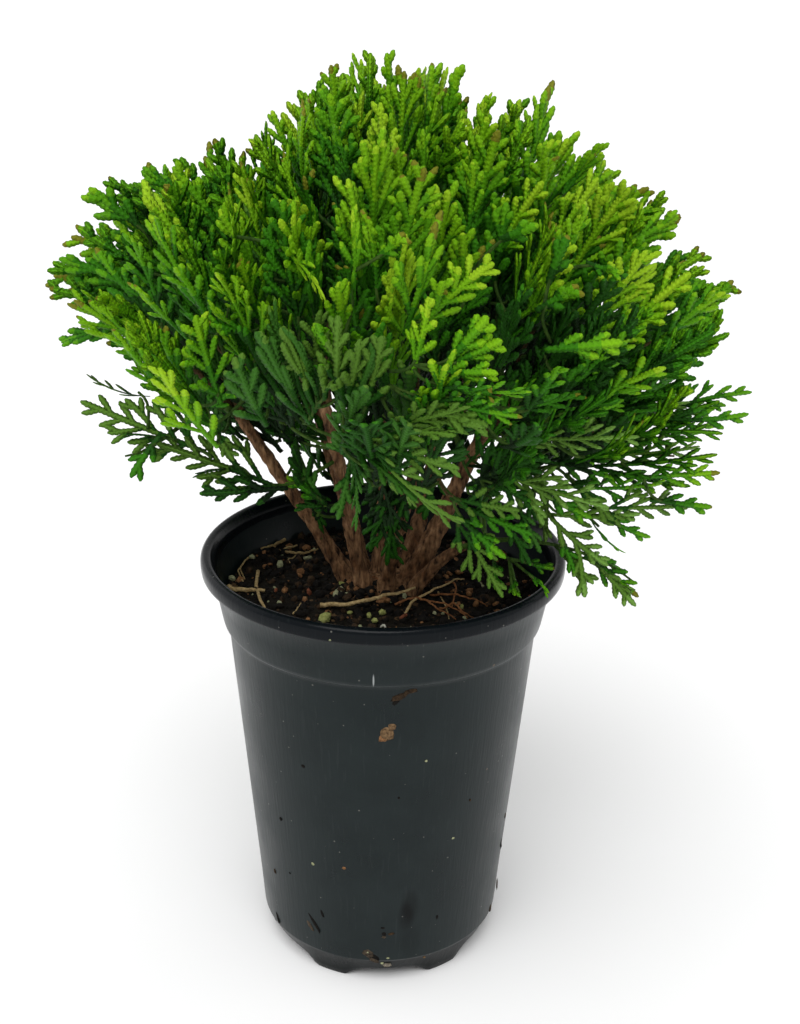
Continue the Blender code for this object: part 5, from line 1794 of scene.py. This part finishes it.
# %% Litter on the soil
straw_mat = crumb_finish("straw", seen(128, 104, 66), seen(186, 164, 118), 0.6)
root_mat = crumb_finish("root", seen(96, 58, 34), seen(150, 104, 66), 0.7)
curl_mat = crumb_finish("pale_curl", seen(176, 176, 160), seen(214, 212, 198), 0.6)
olive_mat = crumb_finish("olive_clod", seen(110, 116, 60), seen(168, 172, 104), 0.7)
red_mat = crumb_finish("reddish_chip", seen(92, 50, 34), seen(150, 92, 66), 0.7)


def laid(pixels, lift, steps=24):
    """A smooth path over the soil through pixels: each at the soil's height plus a lift."""
    pixels = np.array(pixels, float)
    lift = np.broadcast_to(lift, len(pixels))
    spots = np.array([seen_at_height(px, py, SOIL_LEVEL + up) for (px, py), up in zip(pixels, lift)])
    share = np.linspace(0, 1, len(spots))
    fine = np.linspace(0, 1, steps)
    path = np.stack([np.interp(fine, share, spots[:, k]) for k in range(2)], -1)
    reach = np.hypot(path[:, 0], path[:, 1])[:, None]
    path = path * np.minimum(1.0, 0.051 / np.maximum(reach, 1e-9))
    lifts = np.interp(fine, share, lift)
    return np.column_stack([path, soil_height(path[:, 0], path[:, 1]) + lifts])


STRAWS = (
    (((320, 606), (333, 603), (365, 599), (388, 595), (415, 587)),
     (0.0014, 0.0024, 0.0050, 0.0060, 0.0055), 0.0009),
    (((405, 612), (412, 600), (432, 590), (455, 579), (464, 576)),
     (0.0012, 0.0030, 0.0050, 0.0055, 0.0050), 0.0005),
    (((222, 583), (245, 586), (265, 588)), 0.0012, 0.0011),
    (((258, 568), (256, 582), (260, 598), (268, 609), (276, 616)), 0.0012, 0.0007),
    (((232, 550), (236, 561), (243, 578)), 0.0010, 0.0004),
    (((238, 556), (241, 566), (245, 576)), 0.0010, 0.0003),
    (((247, 518), (248, 530), (250, 543)), 0.0012, 0.0007),
    (((253, 533), (266, 538), (281, 546)), 0.0010, 0.0003),
    (((283, 547), (290, 544), (297, 541)), 0.0016, 0.0006),
    (((283, 549), (303, 551), (318, 548)), 0.0010, 0.0006),
    (((300, 552), (288, 556), (292, 562)), 0.0008, 0.0003),
    (((293, 612), (297, 607), (301, 601)), 0.0008, 0.0003),
    (((438, 592), (446, 604), (449, 618)), 0.0010, 0.0003),
)
ROOTS = (
    ((395, 604), (412, 603), (428, 607), (437, 615), (456, 618)),
    ((410, 600), (424, 605), (446, 612), (468, 616)),
    ((430, 596), (452, 598), (470, 604), (486, 602)),
    ((362, 592), (374, 586), (384, 590)),
    ((440, 606), (452, 610), (462, 618), (474, 616)),
    ((446, 582), (456, 594), (452, 606)),
)
# Stones and clods that show by themselves: pixel, size in mm, flatness, finish
STONES = (
    (280, 560, 1.5, 0.9, 3), (324, 617, 2.0, 0.8, 4), (342, 584, 1.2, 0.9, 4), (309, 590, 1.3, 0.5, 5),
    (369, 614, 1.0, 0.8, 4), (375, 619, 1.1, 0.7, 4), (382, 612, 1.1, 0.8, 4), (380, 628, 0.9, 0.6, 3),
    (404, 616, 1.7, 0.4, 5), (496, 602, 1.3, 0.5, 2), (498, 610, 1.1, 0.8, 2), (478, 617, 0.9, 0.6, 3),
    (469, 592, 1.0, 0.9, 2), (462, 603, 0.8, 0.8, 4), (252, 555, 1.1, 0.6, 3), (264, 550, 1.0, 0.6, 2),
    (270, 560, 0.8, 0.6, 2), (300, 574, 0.9, 0.5, 2), (350, 609, 0.9, 0.7, 4), (360, 627, 0.9, 0.6, 3),
    (276, 588, 0.8, 0.5, 5), (530, 590, 0.8, 0.8, 5), (465, 616, 0.8, 0.8, 3), (470, 620, 0.6, 0.6, 3),
)
parts, kinds = [], []
for pixels, lift, thick in STRAWS:
    path = laid(pixels, lift)
    made = tube(path, np.linspace(thick, thick * 0.5, len(path)), 6)
    parts.append(made)
    kinds.append(0)
for index, pixels in enumerate(ROOTS):
    path = laid(pixels, 0.0012, 40)
    path[:, 2] += np.sin(np.linspace(0, math.pi, 40)) * 0.003
    path[:, 1] += np.sin(np.linspace(0, 9, 40) + index) * 0.0008
    parts.append(tube(path, np.linspace(0.00042, 0.00022, 40), 6))
    kinds.append(1)
turn = np.linspace(0.3, 4.6, 24)
middle = laid(((381, 627), (388, 626)), 0.0022, 24)
curl = middle + np.stack([0.0013 * np.cos(turn), 0.0009 * np.cos(turn) * 0, 0.0013 * np.sin(turn)], -1)
parts.append(tube(curl, np.full(len(curl), 0.0004), 6))
kinds.append(2)
stones = np.array([seen_at_height(px, py, SOIL_LEVEL + 0.001) for px, py, *rest in STONES])
sizes = np.array([row[2] for row in STONES]) * MM * 1.25
stones[:, 2] = soil_height(stones[:, 0], stones[:, 1]) + sizes * 0.7
made, faces = crumbs(stones, sizes, np.array([row[3] for row in STONES]), 31)
parts.append((made, np.zeros((0, 4), int), faces))
stone_slots = np.repeat([1 + row[4] for row in STONES], 20)
quad_slots = np.concatenate([np.full(len(p[1]), k) for p, k in zip(parts, kinds)])
tri_slots = np.concatenate([np.full(len(p[2]), k) for p, k in zip(parts, kinds)] + [stone_slots])
spots, quads, tris = join(parts)
litter = mesh_piece("soil_litter", spots, quads, tris, quad_slots, tri_slots,
                    [straw_mat, root_mat, curl_mat, *CRUMB_FINISHES[2:], olive_mat, red_mat])

# %% Flakes on the pot
def on_wall(px, py):
    """Where a pixel's line of sight first meets the pot's outer wall, and the way out."""
    way = sight(px, py)
    steps = np.linspace(0.35, 0.60, 4000)
    spots = EYE + way * steps[:, None]
    outer = radii[: np.argmax(heights) + 1]
    levels = heights[: np.argmax(heights) + 1]
    wall = np.interp(spots[:, 2], levels[5:], outer[5:])
    apart = np.hypot(spots[:, 0], spots[:, 1]) - wall
    first = int(np.argmax(apart < 0)) if apart.min() < 0 else int(np.argmin(apart))
    spot = spots[first]
    return spot, unit(np.array((spot[0], spot[1], 0.0)))


# Pixel, half width and half height in mm, lean in radians, finish
FLAKES = (
    (400, 697, 3.4, 1.5, 0.5, 1), (411, 691, 2.8, 1.0, 0.3, 1), (396, 702, 1.8, 0.9, 0.6, 0),
    (387, 732, 2.7, 3.3, 0.2, 6), (384, 738, 1.8, 1.7, -0.3, 2), (392, 727, 1.4, 1.6, 0.4, 6),
    (278, 917, 0.7, 2.9, 0.5, 0), (314, 922, 0.8, 5.0, 0.62, 0), (322, 913, 0.6, 1.9, 0.3, 0),
    # The black flake at 375, 957 stands for the shadow under the dirt lump: painted shadow.
    (368, 953, 2.7, 1.7, -0.6, 7), (375, 957, 2.0, 1.0, -0.7, 0), (374, 960, 2.2, 1.2, -0.6, 7),
    (368, 952, 0.6, 0.6, 0.0, 3), (387, 965, 1.6, 1.0, -0.1, 8), (382, 963, 0.7, 0.6, -0.1, 3),
    (388, 958, 0.6, 0.4, 0.0, 3), (310, 925, 0.8, 3.2, 0.62, 7), (383, 928, 0.9, 0.5, 0.0, 0),
    # The grey flake at 384, 937 stands for a glint on the dirt there: painted highlight.
    (384, 937, 1.0, 0.7, 0.0, 7), (391, 934, 1.3, 0.7, 0.1, 1),
    (303, 766, 0.9, 0.9, 0.0, 0), (281, 819, 0.8, 0.8, 0.3, 0), (275, 871, 0.9, 1.1, 0.2, 1),
    (313, 864, 0.7, 0.8, 0.4, 3), (344, 868, 0.8, 0.7, 0.1, 2), (290, 873, 0.5, 0.5, 0.0, 0),
    (384, 934, 1.0, 1.0, 0.0, 0), (424, 957, 0.6, 0.5, 0.0, 6), (437, 917, 0.4, 1.2, 0.1, 0),
    (497, 884, 0.9, 3.2, 0.1, 1), (490, 908, 1.6, 2.2, 0.3, 7), (501, 842, 0.6, 3.4, 0.1, 0),
    (470, 800, 0.5, 0.5, 0.2, 1), (505, 815, 0.5, 1.2, 0.0, 1), (426, 761, 0.5, 0.5, 0.0, 3),
    (453, 838, 0.6, 0.5, 0.0, 3), (330, 640, 0.5, 0.4, 0.0, 3), (399, 798, 0.5, 0.5, 0.1, 0),
)
parts, kinds = [], []
for index, (px, py, wide, high, tip, kind) in enumerate(FLAKES):
    spot, out = on_wall(px, py)
    across = np.cross((0, 0, 1.0), out)
    rng = np.random.default_rng(index)
    shape = ICO_SPOTS * rng.uniform(0.75, 1.2, (12, 1)) * MM
    level = across * math.cos(tip) + np.array((0, 0, 1.0)) * math.sin(tip)
    upward = np.cross(out, level)
    placed = spot + level * shape[:, :1] * wide + upward * shape[:, 1:2] * high + out * shape[:, 2:] * 0.35
    parts.append((placed, np.zeros((0, 4), int), ICO_FACES))
    kinds.append(kind)
spots, quads, tris = join(parts)
tan_mat = crumb_finish("tan_flake", seen(70, 52, 34), seen(140, 112, 80), 0.75)
clod_mat = crumb_finish("dull_clod", seen(34, 30, 26), seen(92, 80, 66), 0.85)
husk_mat = crumb_finish("pale_husk", seen(92, 84, 72), seen(150, 142, 128), 0.8)
flakes = mesh_piece("flakes_on_pot", spots, quads, tris, 0, np.repeat(kinds, 20),
                    [*CRUMB_FINISHES, olive_mat, red_mat, tan_mat, clod_mat, husk_mat])
print("flakes", len(FLAKES))
